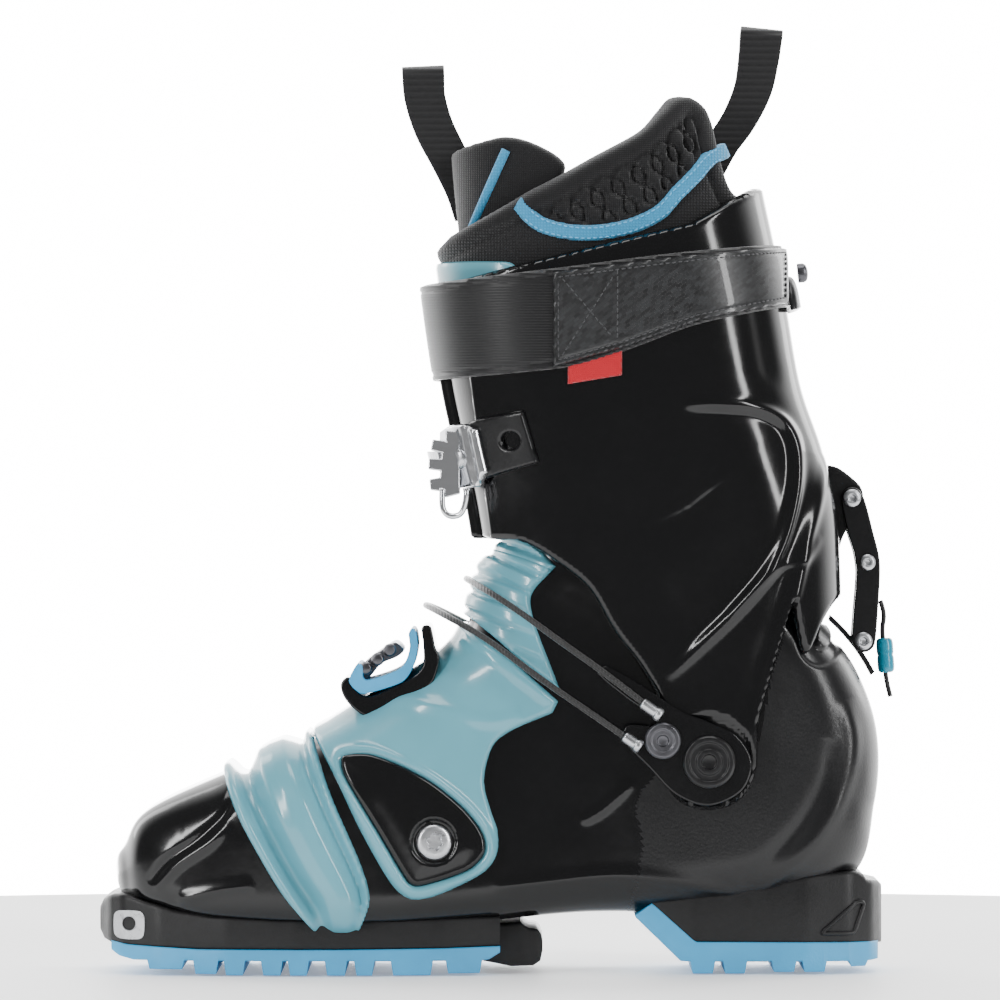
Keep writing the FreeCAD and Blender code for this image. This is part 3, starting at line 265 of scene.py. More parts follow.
def orient(piece):
    """Makes the faces of a closed mesh point outwards."""
    bm = bmesh.new()
    bm.from_mesh(piece.data)
    bmesh.ops.recalc_face_normals(bm, faces=bm.faces)
    bm.to_mesh(piece.data)
    bm.free()
    return piece


def smooth_closed(points, step=1.5, sharp=()):
    """Closed Catmull-Rom outline through side-view points; corners named in sharp stay sharp."""
    pts = np.array(points, float)
    n = len(pts)
    out = []
    for i in range(n):
        p0, p1, p2, p3 = pts[i - 1], pts[i], pts[(i + 1) % n], pts[(i + 2) % n]
        if i in sharp:
            p0 = 2 * p1 - p2
        if (i + 1) % n in sharp:
            p3 = 2 * p2 - p1
        out += spline_span(p0, p1, p2, p3, step)
    return np.array(out)


def smooth_open(points, step=1.5):
    pts = np.array(points, float)
    pts = np.vstack([2 * pts[0] - pts[1], pts, 2 * pts[-1] - pts[-2]])
    out = []
    for i in range(1, len(pts) - 2):
        out += spline_span(pts[i - 1], pts[i], pts[i + 1], pts[i + 2], step)
    out.append(tuple(pts[-2]))
    return np.array(out)


def spline_span(p0, p1, p2, p3, step):
    """Samples of one Catmull-Rom span, without its end; a short neighbour can't swing it."""
    length = np.linalg.norm(p2 - p1)
    count = max(2, int(length / step))
    before, after = np.linalg.norm(p1 - p0) + 1e-6, np.linalg.norm(p3 - p2) + 1e-6
    m1 = (p2 - p0) * min(1.0, 2 * length / (length + before)) / 2
    m2 = (p3 - p1) * min(1.0, 2 * length / (length + after)) / 2
    out = []
    for k in range(count):
        s = k / count
        h = (2 * s**3 - 3 * s**2 + 1, s**3 - 2 * s**2 + s, -2 * s**3 + 3 * s**2, s**3 - s**2)
        out.append(tuple(h[0] * p1 + h[1] * m1 + h[2] * p2 + h[3] * m2))
    return out


def distance(x, z, line, closed=False):
    """Distance from points to a polyline, which side of it they are on (left positive) and how far along."""
    a = line
    b = np.roll(line, -1, axis=0) if closed else line[1:]
    a = a if closed else line[:-1]
    shape = np.shape(x)
    p = np.stack([np.ravel(x), np.ravel(z)], 1)
    best = np.full(len(p), 1e9)
    side = np.zeros(len(p))
    along = np.zeros(len(p))
    total = 0.0
    for q0, q1 in zip(a, b):
        edge = q1 - q0
        size = max(edge @ edge, 1e-9)
        t = np.clip(((p - q0) @ edge) / size, 0, 1)
        off = p - (q0 + t[:, None] * edge)
        dist = np.hypot(off[:, 0], off[:, 1])
        closer = dist < best
        best = np.where(closer, dist, best)
        side = np.where(closer, np.sign(edge[0] * off[:, 1] - edge[1] * off[:, 0]), side)
        along = np.where(closer, total + t * math.sqrt(size), along)
        total += math.sqrt(size)
    return best.reshape(shape), side.reshape(shape), (along / total).reshape(shape)


def inside(x, z, outline):
    """Signed distance to a closed outline: positive inside."""
    dist, _, _ = distance(x, z, outline, True)
    hit = np.zeros(np.shape(x), bool)
    previous = outline[-1]
    for corner in outline:
        (x0, z0), (x1, z1) = previous, corner
        crosses = (z0 > z) != (z1 > z)
        with np.errstate(divide="ignore", invalid="ignore"):
            cut = (x1 - x0) * (z - z0) / (z1 - z0 + 1e-12) + x0
        hit ^= crosses & (x < cut)
        previous = corner
    return np.where(hit, dist, -dist)


def step01(v, low, high):
    t = np.clip((v - low) / (high - low), 0, 1)
    return t * t * (3 - 2 * t)


def ridge(x, z, line, width, fade=0.12):
    """Soft ridge, 1 on the line and 0 a width away, fading to nothing at the line's ends."""
    dist, _, along = distance(x, z, line)
    ends = np.clip(np.minimum(along, 1 - along) / fade, 0, 1)
    return np.exp(-(dist / width) ** 2) * ends**0.5


def round_edge(d, radius):
    """Quarter-round lip: 0 on the outline, 1 from one radius inside it."""
    t = np.clip(1 - d / radius, 0, 1)
    return np.sqrt(np.clip(1 - t * t, 0, 1))


class Loft:
    """Smooth surface through stations: low point, top point, half width, low and top corner radius."""

    def __init__(self, stations):
        self.rows = np.array([(*low, *top, half, rl, rt) for low, top, half, rl, rt in stations], float)

    def station(self, u):
        rows, last = self.rows, len(self.rows) - 1
        i = min(max(int(math.floor(u)), 0), last - 1)
        s = u - i
        p0, p1, p2, p3 = rows[max(i - 1, 0)], rows[i], rows[i + 1], rows[min(i + 2, last)]
        m1 = (p2 - p0) / 2 if i > 0 else p2 - p1
        m2 = (p3 - p1) / 2 if i + 2 <= last else p2 - p1
        return ((2 * s**3 - 3 * s**2 + 1) * p1 + (s**3 - 2 * s**2 + s) * m1
                + (-2 * s**3 + 3 * s**2) * p2 + (s**3 - s**2) * m2)

    @staticmethod
    def ring(span, half, low_r, top_r):
        """Rounded rectangle once round from the low middle, over +Y and the top, a little eased."""
        turn = np.linspace(0, math.pi / 2, 24)
        up = [np.full(1, -span), -span + low_r * (1 - np.cos(turn)), span - top_r * (1 - np.sin(turn)),
              np.full(1, span)]
        out = [np.zeros(1), half - low_r * (1 - np.sin(turn)), half - top_r * (1 - np.cos(turn)), np.zeros(1)]
        up, out = np.concatenate(up), np.concatenate(out)
        up, out = np.concatenate([up, up[-2::-1]]), np.concatenate([out, -out[-2::-1]])
        length = np.concatenate([[0], np.cumsum(np.hypot(np.diff(up), np.diff(out)))])
        even = np.linspace(0, length[-1], 481)[:-1]
        up, out = np.interp(even, length, up), np.interp(even, length, out)
        ease = max(2, int(6.0 / (length[-1] / 480)))
        weight = np.hanning(2 * ease + 3)[1:-1]
        weight = weight / weight.sum()
        pad = len(weight) // 2
        up = np.convolve(np.concatenate([up[-pad:], up, up[:pad]]), weight, "valid")
        out = np.convolve(np.concatenate([out[-pad:], out, out[:pad]]), weight, "valid")
        return up, out

    def grid(self, u0, u1, nu, nv, v0=0.0, v1=1.0):
        """Points and outward normals. v runs once round from the low point over +Y and the top."""
        points = np.zeros((nu, nv, 3))
        for i, u in enumerate(np.linspace(u0, u1, nu)):
            lx, lz, tx, tz, half, low_r, top_r = self.station(u)
            span = math.hypot(tx - lx, tz - lz) / 2
            up, out = self.ring(span, half, low_r, top_r)
            fractions = np.linspace(0, 1, 481)
            want = np.linspace(v0, v1, nv)
            up = np.interp(want, fractions, np.append(up, up[0]))
            out = np.interp(want, fractions, np.append(out, out[0]))
            dx, dz = (tx - lx) / (2 * span), (tz - lz) / (2 * span)
            points[i, :, 0] = (lx + tx) / 2 + dx * up
            points[i, :, 1] = out
            points[i, :, 2] = (lz + tz) / 2 + dz * up
        return points, self.normals(points, abs(v1 - v0 - 1) < 1e-6)

    @staticmethod
    def normals(points, ring):
        if ring:
            around = np.concatenate([points[:, -2:-1], points, points[:, 1:2]], 1)
            dv = around[:, 2:] - around[:, :-2]
        else:
            dv = np.gradient(points, axis=1)
        du = np.gradient(points, axis=0)
        normals = np.cross(dv, du)
        normals = normals / np.maximum(np.linalg.norm(normals, axis=2, keepdims=True), 1e-9)
        middle = points.mean(axis=1, keepdims=True)
        flip = np.sign(np.sum(normals * (points - middle), axis=2).mean()) or 1.0
        return normals * flip


def onto_edge(points, normals, keep):
    """Moves the outside corners of kept cells along the grid, onto the outline."""
    nu, nv = keep.shape
    best = np.zeros((nu, nv))
    value = np.ones((nu, nv))
    new_points, new_normals = points.copy(), normals.copy()
    for di in (-1, 0, 1):
        for dj in (-1, 0, 1):
            here = (slice(max(0, -di), nu - max(0, di)), slice(max(0, -dj), nv - max(0, dj)))
            there = (slice(max(0, di), nu - max(0, -di)), slice(max(0, dj), nv - max(0, -dj)))
            gain = keep[there] / math.hypot(di, dj) if di or dj else np.zeros_like(keep)
            better = gain > best[here]
            best[here] = np.where(better, gain, best[here])
            value[here] = np.where(better, keep[there], value[here])
            new_points[here] = np.where(better[..., None], points[there], new_points[here])
            new_normals[here] = np.where(better[..., None], normals[there], new_normals[here])
    move = (keep < 0) & (best > 0)
    t = np.where(move, -keep / np.maximum(value - keep, 1e-9), 0)[..., None]
    return points + (new_points - points) * t, normals + (new_normals - normals) * t


def sheet(name, points, normals, outer, inner, keep, mat, body, replaces=()):
    """Closed skin over the kept cells of a grid, between two heights along the normals."""
    nu, nv = keep.shape
    closed_ring = np.allclose(points[:, 0], points[:, -1], atol=1e-4)
    corners = (keep[:-1, :-1], keep[1:, :-1], keep[1:, 1:], keep[:-1, 1:])
    cells = np.maximum(np.maximum(corners[0], corners[1]), np.maximum(corners[2], corners[3])) > 0
    p, n = onto_edge(points, normals, keep)
    top = (p + n * outer[..., None]).reshape(-1, 3)
    low = (p + n * inner[..., None]).reshape(-1, 3)
    index = np.arange(nu * nv).reshape(nu, nv)
    if closed_ring:
        index[:, -1] = index[:, 0]
    quads = np.stack([index[:-1, :-1], index[1:, :-1], index[1:, 1:], index[:-1, 1:]], -1)[cells]
    used = np.unique(quads)
    small = np.full(nu * nv, -1)
    small[used] = np.arange(len(used))
    quads = small[quads]
    count = len(used)
    verts = np.concatenate([top[used], low[used]])
    start, stop = quads.reshape(-1), np.roll(quads, -1, axis=1).reshape(-1)
    keys, reverse = start * count + stop, stop * count + start
    border = ~np.isin(keys, reverse)
    faces = quads.tolist() + (quads[:, ::-1] + count).tolist()
    faces += [(b, a, a + count, b + count) for a, b in zip(start[border], stop[border])]
    piece = orient(make(name, verts, faces, mat, body, replaces))
    piece.data.set_sharp_from_angle(angle=math.radians(52))
    return piece


def panel(name, loft, window, cell, outline, height, inner, mat, body, replaces=(), side=None,
          extra=None, edge=1.6, cuts=(), only=None):
    """A moulded panel: a side-view outline laid on a lofted surface, with a rounded lip."""
    u0, u1, v0, v1 = window
    probe, _ = loft.grid(u0, u1, 40, 80, v0, v1)
    nu = int(np.linalg.norm(np.diff(probe, axis=0), axis=2).sum(0).max() / cell) + 2
    nv = int(np.linalg.norm(np.diff(probe, axis=1), axis=2).sum(1).max() / cell) + 2
    points, normals = loft.grid(u0, u1, nu, nv, v0, v1)
    x, z = points[..., 0], points[..., 2]
    d = inside(x, z, outline)
    for hole in cuts:
        d = np.minimum(d, -inside(x, z, hole))
    if side:
        d = np.minimum(d, points[..., 1] * side)
    if only is not None:
        d = np.minimum(d, only(points))
    lip = round_edge(np.maximum(d, 0), edge)
    tall = np.full_like(x, height) if np.isscalar(height) else height(points, d)
    base = np.minimum(inner + 0.3, tall)
    outer = base + (tall - base) * lip
    if extra is not None:
        outer = outer + extra(points, d) * lip
    return sheet(name, points, normals, outer, np.full_like(x, inner), d, mat, body, replaces)


def bevelled(piece, width, segments=3, angle=35):
    mod = piece.modifiers.new("edge", "BEVEL")
    mod.width = width * MM
    mod.segments = segments
    mod.limit_method = "ANGLE"
    mod.angle_limit = math.radians(angle)
    mod.harden_normals = False
    weighted = piece.modifiers.new("shade", "WEIGHTED_NORMAL")
    weighted.keep_sharp = False
    return piece


def prism(name, outline, y0, y1, mat, body, replaces=(), bevel=0.6):
    """Side-view outline (X, Z) extruded across the boot."""
    return extrude(name, [(x, 0, z) for x, z in outline], (0, 1, 0), y0, y1, mat, body, replaces, bevel)


def extrude(name, outline, axis, low, high, mat, body, replaces=(), bevel=0.6):
    pts = np.array(outline, float)
    step = np.array(axis, float)
    n = len(pts)
    verts = np.concatenate([pts + step * low, pts + step * high])
    faces = [tuple(range(n)), tuple(range(2 * n - 1, n - 1, -1))]
    faces += [(i, i + n, (i + 1) % n + n, (i + 1) % n) for i in range(n)]
    piece = orient(make(name, verts, faces, mat, body, replaces))
    return bevelled(piece, bevel)


def round_curve(name, points, radius, sides, order, between, cyclic=False):
    """Round smooth curve through the air, pulled towards its points."""
    curve = bpy.data.curves.new(name, "CURVE")
    curve.dimensions = "3D"
    curve.bevel_depth = radius * MM
    curve.bevel_resolution = sides
    curve.use_fill_caps = True
    spline = curve.splines.new("NURBS")
    spline.points.add(len(points) - 1)
    for point, (x, y, z) in zip(spline.points, points):
        point.co = ((x + SHIFT) * MM, y * MM, z * MM, 1)
    spline.order_u = order
    spline.use_endpoint_u = not cyclic
    spline.use_cyclic_u = cyclic
    spline.resolution_u = between
    return curve


def tube(name, points, radius, mat, body, replaces=(), cyclic=False):
    """Round wire, sheath or piping along a smooth path, as a mesh."""
    curve = round_curve(name, points, radius, 6, 4, 6, cyclic)
    temp = bpy.data.objects.new(name + "_path", curve)
    mesh = bpy.data.meshes.new_from_object(temp)
    bpy.data.objects.remove(temp)
    piece = link(name, mesh)
    mesh.materials.clear()
    mesh.materials.append(MATS[mat])
    mesh.polygons.foreach_set("use_smooth", [True] * len(mesh.polygons))
    weld = bmesh.new()
    weld.from_mesh(mesh)
    bmesh.ops.remove_doubles(weld, verts=weld.verts, dist=1e-6)
    weld.to_mesh(mesh)
    weld.free()
    return finish_piece(piece, body, replaces)


def rod(radius, length):
    """Profile of a plain rod."""
    return [(0, 0), (radius, 0), (radius, length), (0, length)]


def lathe(name, centre, axis, profile, mat, body, replaces=(), turns=48):
    """Turned part: profile is (radius, height) along the axis, closed at both ends on the axis."""
    axis = Vector(axis).normalized()
    side = axis.orthogonal().normalized()
    other = axis.cross(side)
    verts, faces = [], []
    rings = [(r, h) for r, h in profile if r > 1e-6]
    start = Vector(centre)
    for r, h in rings:
        for k in range(turns):
            a = 2 * math.pi * k / turns
            verts.append(start + side * (r * math.cos(a)) + other * (r * math.sin(a)) + axis * h)
    for i in range(len(rings) - 1):
        for k in range(turns):
            a, b = i * turns + k, i * turns + (k + 1) % turns
            faces.append((a, b, b + turns, a + turns))
    first, last = len(verts), len(verts) + 1
    verts.append(start + axis * profile[0][1])
    verts.append(start + axis * profile[-1][1])
    base = (len(rings) - 1) * turns
    for k in range(turns):
        faces.append((first, (k + 1) % turns, k))
        faces.append((last, base + k, base + (k + 1) % turns))
    piece = orient(make(name, [tuple(v) for v in verts], faces, mat, body, replaces))
    return bevelled(piece, 0.25, 2)


# ------------------------------------------------------------------ the boot's surfaces
FOOT = Loft([
    ((-137, 27), (-138.5, 45), 26, 7, 8), ((-129.5, 24), (-131, 58.5), 38, 9, 15),
    ((-108, 19.5), (-106, 71), 46, 9, 24), ((-78, 17.5), (-82, 80), 50, 9, 28),
    ((-46, 17), (-59, 91), 51, 10, 30), ((-8, 19), (-32, 107), 46, 12, 30),
    ((30, 22), (-15, 121), 41, 16, 27),
    ((84, 23), (-9, 138), 40, 22, 26), ((128, 34), (-6.5, 146.5), 40, 25, 26),
    ((138, 62), (-4.5, 149), 40, 27, 26),
    ((138.8, 88), (-3, 151), 40.5, 28, 26), ((131, 111), (-1, 152.5), 41, 28, 26),
    ((117.5, 130), (1, 154), 41, 28, 26), ((106, 152), (5, 175), 41, 28, 26)])
CUFF = Loft([
    ((123, 54), (0, 54), 48.5, 30, 30), ((125.5, 110), (-4, 110), 48.5, 32, 32),
    ((124.5, 162), (-11, 162), 50, 34, 35), ((119, 190), (-16.5, 190), 52, 36, 37),
    ((110.5, 216), (-22, 216), 54, 38, 39), ((104.5, 250), (-27, 250), 56, 40, 41),
    ((96, 290), (-31.5, 290), 57, 41, 42), ((87, 330), (-34, 330), 56, 41, 42)])


def arc(centre, radius, start, stop, count=24):
    angles = np.radians(np.linspace(start, stop, count))
    return [(centre[0] + radius * math.cos(a), centre[1] + radius * math.sin(a)) for a in angles]


# Bellows boundaries, side view, from the ridge down to the sole.
BELLOWS_FRONT = smooth_open([(-103.5, 82), (-101.4, 73), (-97.5, 62), (-91.6, 50), (-78.4, 28.1),
                             (-65.5, 15.2), (-60, 10)])
BELLOWS_REAR = smooth_open([(-70, 98), (-67.9, 86), (-61.4, 66.2), (-50.6, 41.1), (-47.2, 28.1),
                            (-50.3, 18.5), (-55, 12)])

# Lower shell: everything behind the bellows, open at the throat, with a spine behind the ankle.
LOWER_SIDE = np.array([(-45.0, 10)] + [tuple(p) for p in BELLOWS_REAR[::-1] + np.array([-3.5, 0])]
                      + [(-60, 120), (-30, 160), (-2, 178), (46, 178), (46, 139)]
                      + arc(ANKLE, 68, 116, 4) + [(160, 70), (160, 10)])


def heel_relief(points, d):
    """Moulded lines on the heel and below the ankle."""
    x, z = points[..., 0], points[..., 2]
    out = 0.7 * ridge(x, z, smooth_open([(30, 55.5), (37, 60), (44, 66), (48.5, 70.5)]), 1.4, 0.3)
    out += 1.1 * ridge(x, z, smooth_open([(93, 28), (104, 38), (116, 50), (125, 66), (129, 84), (126, 100)]),
                       3.0)
    out -= 0.8 * ridge(x, z, smooth_open([(88, 33), (99, 43), (110, 55), (118, 70), (121, 86)]), 2.6)
    out += 0.8 * ridge(x, z, smooth_open([(-2, 32), (18, 34), (44, 36), (70, 33), (92, 28)]), 2.4)
    button = np.hypot((x - 118.4) / 3.0, (z - 123.2) / 4.4)
    moon = np.hypot((x - 117.0) / 8.0, (z - 122) / 9.5)
    out -= 1.3 * step01(1.15 - moon, 0, 0.3)
    out += 2.0 * step01(1.1 - button, 0, 0.2)
    return out


lower = panel("lower_shell_skin", FOOT, (2.0, 13.0, 0, 1), 1.15, LOWER_SIDE, 0.0, -3.5, "shell", "rear_foot",
              ["lower_shell"], extra=heel_relief, edge=1.2)

# The heel and the spine are satin, the rest polished.
SATIN_SIDE = smooth_closed([(40, 5), (49, 30), (52, 48), (50, 63), (60, 74), (80, 70), (93, 82), (100, 112),
                            (108, 140), (100, 160), (165, 160), (165, 5)],
                           sharp=(0, 10, 11))
lower.data.materials.append(MATS["satin"])
centres = np.array([face.center for face in lower.data.polygons]) / MM
is_satin = inside(centres[:, 0] - SHIFT, centres[:, 2], SATIN_SIDE) > 0
lower.data.polygons.foreach_set("material_index", is_satin.astype(int))

# Toe cap.
TOE_SIDE = np.array([(-62, 10)] + [tuple(p) for p in BELLOWS_FRONT[::-1] + np.array([2.5, 0])]
                    + [(-106, 110), (-160, 110), (-160, 10)])


def toe_relief(points, d):
    x, z = points[..., 0], points[..., 2]
    out = -0.9 * ridge(x, z, smooth_open([(-128, 33), (-122, 41), (-110, 50), (-100, 60), (-97, 70)]), 1.5,
                       0.2)
    out += 0.8 * ridge(x, z, smooth_open([(-126, 31), (-118, 40), (-106, 48), (-98, 55)]), 1.6, 0.2)
    out += 0.7 * ridge(x, z, smooth_open([(-118, 27), (-104, 31), (-90, 33)]), 1.8)
    return out


def toe_cap():
    """Toe cap with a closed, rounded nose."""
    nose_rows, nose_depth = 26, 4.0
    eased_rows, fade_rows, passes = 75, 30, 60
    points, _ = FOOT.grid(0.0, 4.6, 150, 260)
    first = points[0]
    middle = first.mean(axis=0)
    dome = []
    for k in range(nose_rows):
        a = math.pi / 2 * k / nose_rows
        row = middle + (first - middle) * math.sin(a)
        dome.append(row + np.array([-nose_depth * math.cos(a), 0, 0]))
    points = np.concatenate([np.array(dome), points])
    share = np.clip((eased_rows - np.arange(1, len(points) - 1)) / fade_rows, 0, 1)[:, None, None]
    for _ in range(passes):
        eased = (points[:-2] + 2 * points[1:-1] + points[2:]) / 4
        points[1:-1] += (eased - points[1:-1]) * share
    normals = Loft.normals(points, True)
    x, z = points[..., 0], points[..., 2]
    d = inside(x, z, TOE_SIDE)
    lip = round_edge(np.maximum(d, 0), 1.2)
    relief = toe_relief(points, d)
    outer = -0.9 + 0.9 * lip + relief * lip
    inner = np.full_like(x, -3.0)
    return sheet("toe_cap", points, normals, outer, inner, d, "shell", "toe", ["toe_shell"])


toe_cap()


# Bellows: front lip, valley, broad ridge and rear lip, fading to a flat band at the sole.
def bellows():
    points, normals = FOOT.grid(1.6, 5.2, 150, 420)
    x, z = points[..., 0], points[..., 2]
    outline = np.vstack([BELLOWS_FRONT, BELLOWS_REAR[::-1]])
    d = inside(x, z, outline)
    front, _, _ = distance(x, z, BELLOWS_FRONT)
    rear, _, _ = distance(x, z, BELLOWS_REAR)
    w = front / np.maximum(front + rear, 1e-6)
    places = [0, 0.05, 0.10, 0.17, 0.24, 0.33, 0.42, 0.55, 0.70, 0.79, 0.86, 0.90, 0.95, 1.0]
    heights = [2.0, 3.6, 3.4, -2.0, -3.0, 0.5, 4.2, 4.9, 4.6, 2.0, -0.5, 1.5, 3.6, 2.6]
    fine = np.linspace(0, 1, 400)
    profile = np.interp(fine, places, heights)
    window = np.hanning(33)
    profile = np.convolve(np.pad(profile, 16, mode="edge"), window / window.sum(), "valid")
    tall = np.interp(w, fine, profile)
    fade = step01(front + rear, 9, 26)
    tall = 2.6 + (tall - 2.6) * fade
    lip = round_edge(np.maximum(d, 0), 1.4)
    outer = -1.5 + (tall + 1.5) * lip
    piece = sheet("bellows", points, normals, outer, np.full_like(x, -4.2), d, "aqua", None, ["flex_bellows"])
    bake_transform(piece)


bellows()

# Skins over the shell: their top and their underside above it, in millimetres.
COVER_TOP, COVER_FLOOR = 3.4, 0.15
COVER_OUTLINE = smooth_closed([
    (-69.5, 89.5), (-62, 104), (-54.8, 112), (-22, 134), (-15.5, 133), (-10.6, 126.6), (5.0, 114),
    (21.3, 99.8), (19.2, 95.5), (4.0, 88.9),
    (-2.6, 83.5), (-5.9, 71.5), (-3.7, 60.7), (-0.9, 52.0), (-1.5, 43.3), (-7.0, 36.8), (-23.3, 29.2),
    (-32.9, 28.1), (-39.6, 33.6), (-50.3, 52.0), (-60, 72)], sharp=(0, 4, 7, 8))
THROAT_OUTLINE = smooth_closed([
    (-20.0, 131.0), (-22.0, 175.0), (-3.7, 175.0), (20.4, 149.1), (11.1, 136.2), (22.0, 103.5), (6.0, 116.0),
    (-10.6, 130.0)],
    sharp=(0, 1, 2, 3, 5))
SIDE_OUTLINE = smooth_closed([
    (-56.8, 78.1), (-46.0, 79.2), (-28.6, 72.6), (-14.5, 61.8), (-6.9, 52.0), (-6.0, 44.4), (-12.3, 37.9),
    (-29.7, 32.4), (-34.0, 33.8), (-44.9, 52.0), (-56.8, 72.6)])


def cover_relief(points, d):
    x, z = points[..., 0], points[..., 2]
    seat = inside(x, z, SIDE_OUTLINE)
    rim = np.exp(-((seat + 1.6) / 1.3) ** 2) * 1.3
    pocket = -1.6 * step01(seat, 0.0, 1.2)
    crest = smooth_open([(-62, 92), (-48, 97), (-34, 98), (-18, 95), (-4, 92.5), (8, 95.5)])
    fold = 0.9 * ridge(x, z, crest, 2.6, 0.15)
    rear = 0.8 * ridge(x, z, smooth_open([(-11, 122), (0, 113.5), (12, 104.5), (18, 99.5)]), 2.0)
    return rim + pocket + fold + rear


panel("instep_cover_skin", FOOT, (3.2, 9.0, 0.16, 0.84), 0.95, COVER_OUTLINE, COVER_TOP, COVER_FLOOR, "aqua",
      "rear_foot", ["instep_cover"], extra=cover_relief, edge=1.8)


def throat_relief(points, d):
    x, y, z = np.moveaxis(points, -1, 0)
    run = (z - 130) * 0.93 + (x + 10) * 0.36
    grooves = -1.6 * np.exp(-(((run + 1.5) % 7.0 - 3.5) / 1.15) ** 2)
    band = step01(42 - np.abs(y), 0, 5)
    return grooves * band


panel("throat_cover_skin", FOOT, (5.2, 13.0, 0.2, 0.8), 0.95, THROAT_OUTLINE, COVER_TOP, COVER_FLOOR, "aqua",
      "rear_foot", ["throat_cover"], extra=throat_relief, edge=1.4,
      only=lambda p: 112 - np.hypot(p[..., 0] - ANKLE[0], p[..., 2] - ANKLE[1]))


def side_relief(points, d):
    x, z = points[..., 0], points[..., 2]
    seat = np.hypot(x - SCREW[0], z - SCREW[1])
    dish = -1.2 * step01(8.6 - seat, 0, 1.0)
    return dish + 0.5 * step01(d, 2.0, 9.0)


for side, label in SIDES:
    panel(f"side_cover_{label}_skin", FOOT, (3.4, 7.6, *((0.5, 0.97) if side < 0 else (0.03, 0.5))), 0.8,
          SIDE_OUTLINE,
          5.2, 2.0, "shell", "rear_foot", [f"side_cover_{label}"], side=side, extra=side_relief,
          edge=1.6)

# ------------------------------------------------------------------ cuff
CUFF_SIDE = smooth_closed([
    (-34.0, 249.0), (-30.0, 215.7), (-22.0, 176.0), (-16.0, 158.6), (-4, 158.2), (7.4, 157.4), (20.4, 150.2),
    (32.2, 140.6),
    (41.4, 125.1), (51.8, 111.0), (58.2, 98.0), (57.6, 78.0), (60.5, 69.0), (66.5, 62.5), (76.0, 60.2),
    (85.5, 62.5), (91.5, 69.0), (93.8, 78.0), (94.4, 91.8), (100.0, 112.0), (107.3, 136.0), (111.5, 118.0),
    (113.5, 117.0),
    (126, 137.0), (160.0, 140.2), (160.0, 268.0), (101.0, 288.5), (96.5, 288.5), (70.0, 274.0)],
    sharp=(0, 3, 4, 20, 24, 25, 26, 28))
SWOOSH = smooth_open([(60.5, 108.5), (74, 121.4), (86, 133), (96.2, 145), (104.5, 160), (108.6, 178),
                      (108.2, 193),
                      (103.5, 202), (94, 206.8), (80, 208.2), (66, 208)])
REAR_LINE = smooth_open([(94.4, 92), (100, 112), (107.3, 136.2), (112.5, 158.4), (117.5, 176), (119.6, 190)])
GLINT = smooth_open([(84, 132), (94, 142), (104, 150), (112, 152), (117, 160)])


def cuff_relief(points, d):
    x, y, z = np.moveaxis(points, -1, 0)
    dist, side, along = distance(x, z, SWOOSH)
    bowl = np.exp(-(dist / 26.0) ** 2) * (side > 0) * step01(np.minimum(along, 1 - along), 0.0, 0.15)
    out = 1.5 * ridge(x, z, SWOOSH, 2.0, 0.3) - 1.6 * step01(dist, 0.0, 4.0) * bowl
    out += 1.1 * ridge(x, z, REAR_LINE, 1.8, 0.2)
    out -= 1.0 * ridge(x, z, REAR_LINE - np.array([6.0, 0]), 3.0, 0.25)
    out += 0.8 * ridge(x, z, GLINT, 1.6, 0.25)
    ear = np.hypot(x - ANKLE[0], z - ANKLE[1])
    out -= 0.9 * step01(16.5 - ear, -0.8, 0.8)
    flap = np.array([(-2.2, 150.0), (-10.2, 211.0), (-16.6, 262.0)])
    near, _, _ = distance(x, z, flap)
    out += 0.7 * np.exp(-(near / 2.5) ** 2) * (y < -4)
    accent = np.exp(-(((x - 97 + (z - 225) * 0.18) / 4.0) ** 2)) * step01(z, 212, 222) * step01(256 - z, 0,
                                                                                                10)
    out -= 1.0 * accent * (np.abs(y) > 20)
    return out


def cuff_only(points):
    x, y, z = np.moveaxis(points, -1, 0)
    slit = inside(x, z, np.array([(-50.0, 262.0), (-50.0, 150.0), (-3.0, 150.0), (-11.0, 211.0),
                                  (-17.4, 262.0)]))
    in_slit = np.minimum(slit, -5.5 - y)
    in_rear = np.minimum(np.minimum(x - 100, 12 - np.abs(y)), np.minimum(z - 120, 168 - z))
    return np.minimum(-in_slit, -in_rear)


panel("cuff_skin", CUFF, (0.0, 6.0, 0, 1), 1.1, CUFF_SIDE, 0.0, -4.0, "shell", "cuff", ["cuff_shell"],
      extra=cuff_relief, edge=1.6, only=cuff_only)

TONGUE_SIDE = smooth_closed([(-60.0, 259.5), (-60.0, 158.0), (-14, 158), (4.0, 159.0), (14.0, 163.0),
                             (14.0, 200.0), (5.0, 257.0), (0, 259.5)],
                            sharp=(0, 1))
tongue = panel("tongue_skin", CUFF, (1.6, 6.0, 0.1, 0.9), 1.3, TONGUE_SIDE, -4.3, -6.5, "aqua", "cuff",
               ["tongue"], edge=1.2,
               only=lambda p: np.hypot(p[..., 0] - ANKLE[0], p[..., 2] - ANKLE[1]) - 113.6)

# Only the tongue's lip above the strap is aqua.
tongue.data.materials.append(MATS["satin"])
for face in tongue.data.polygons:
    if face.center.z / MM < 248:
        face.material_index = 1

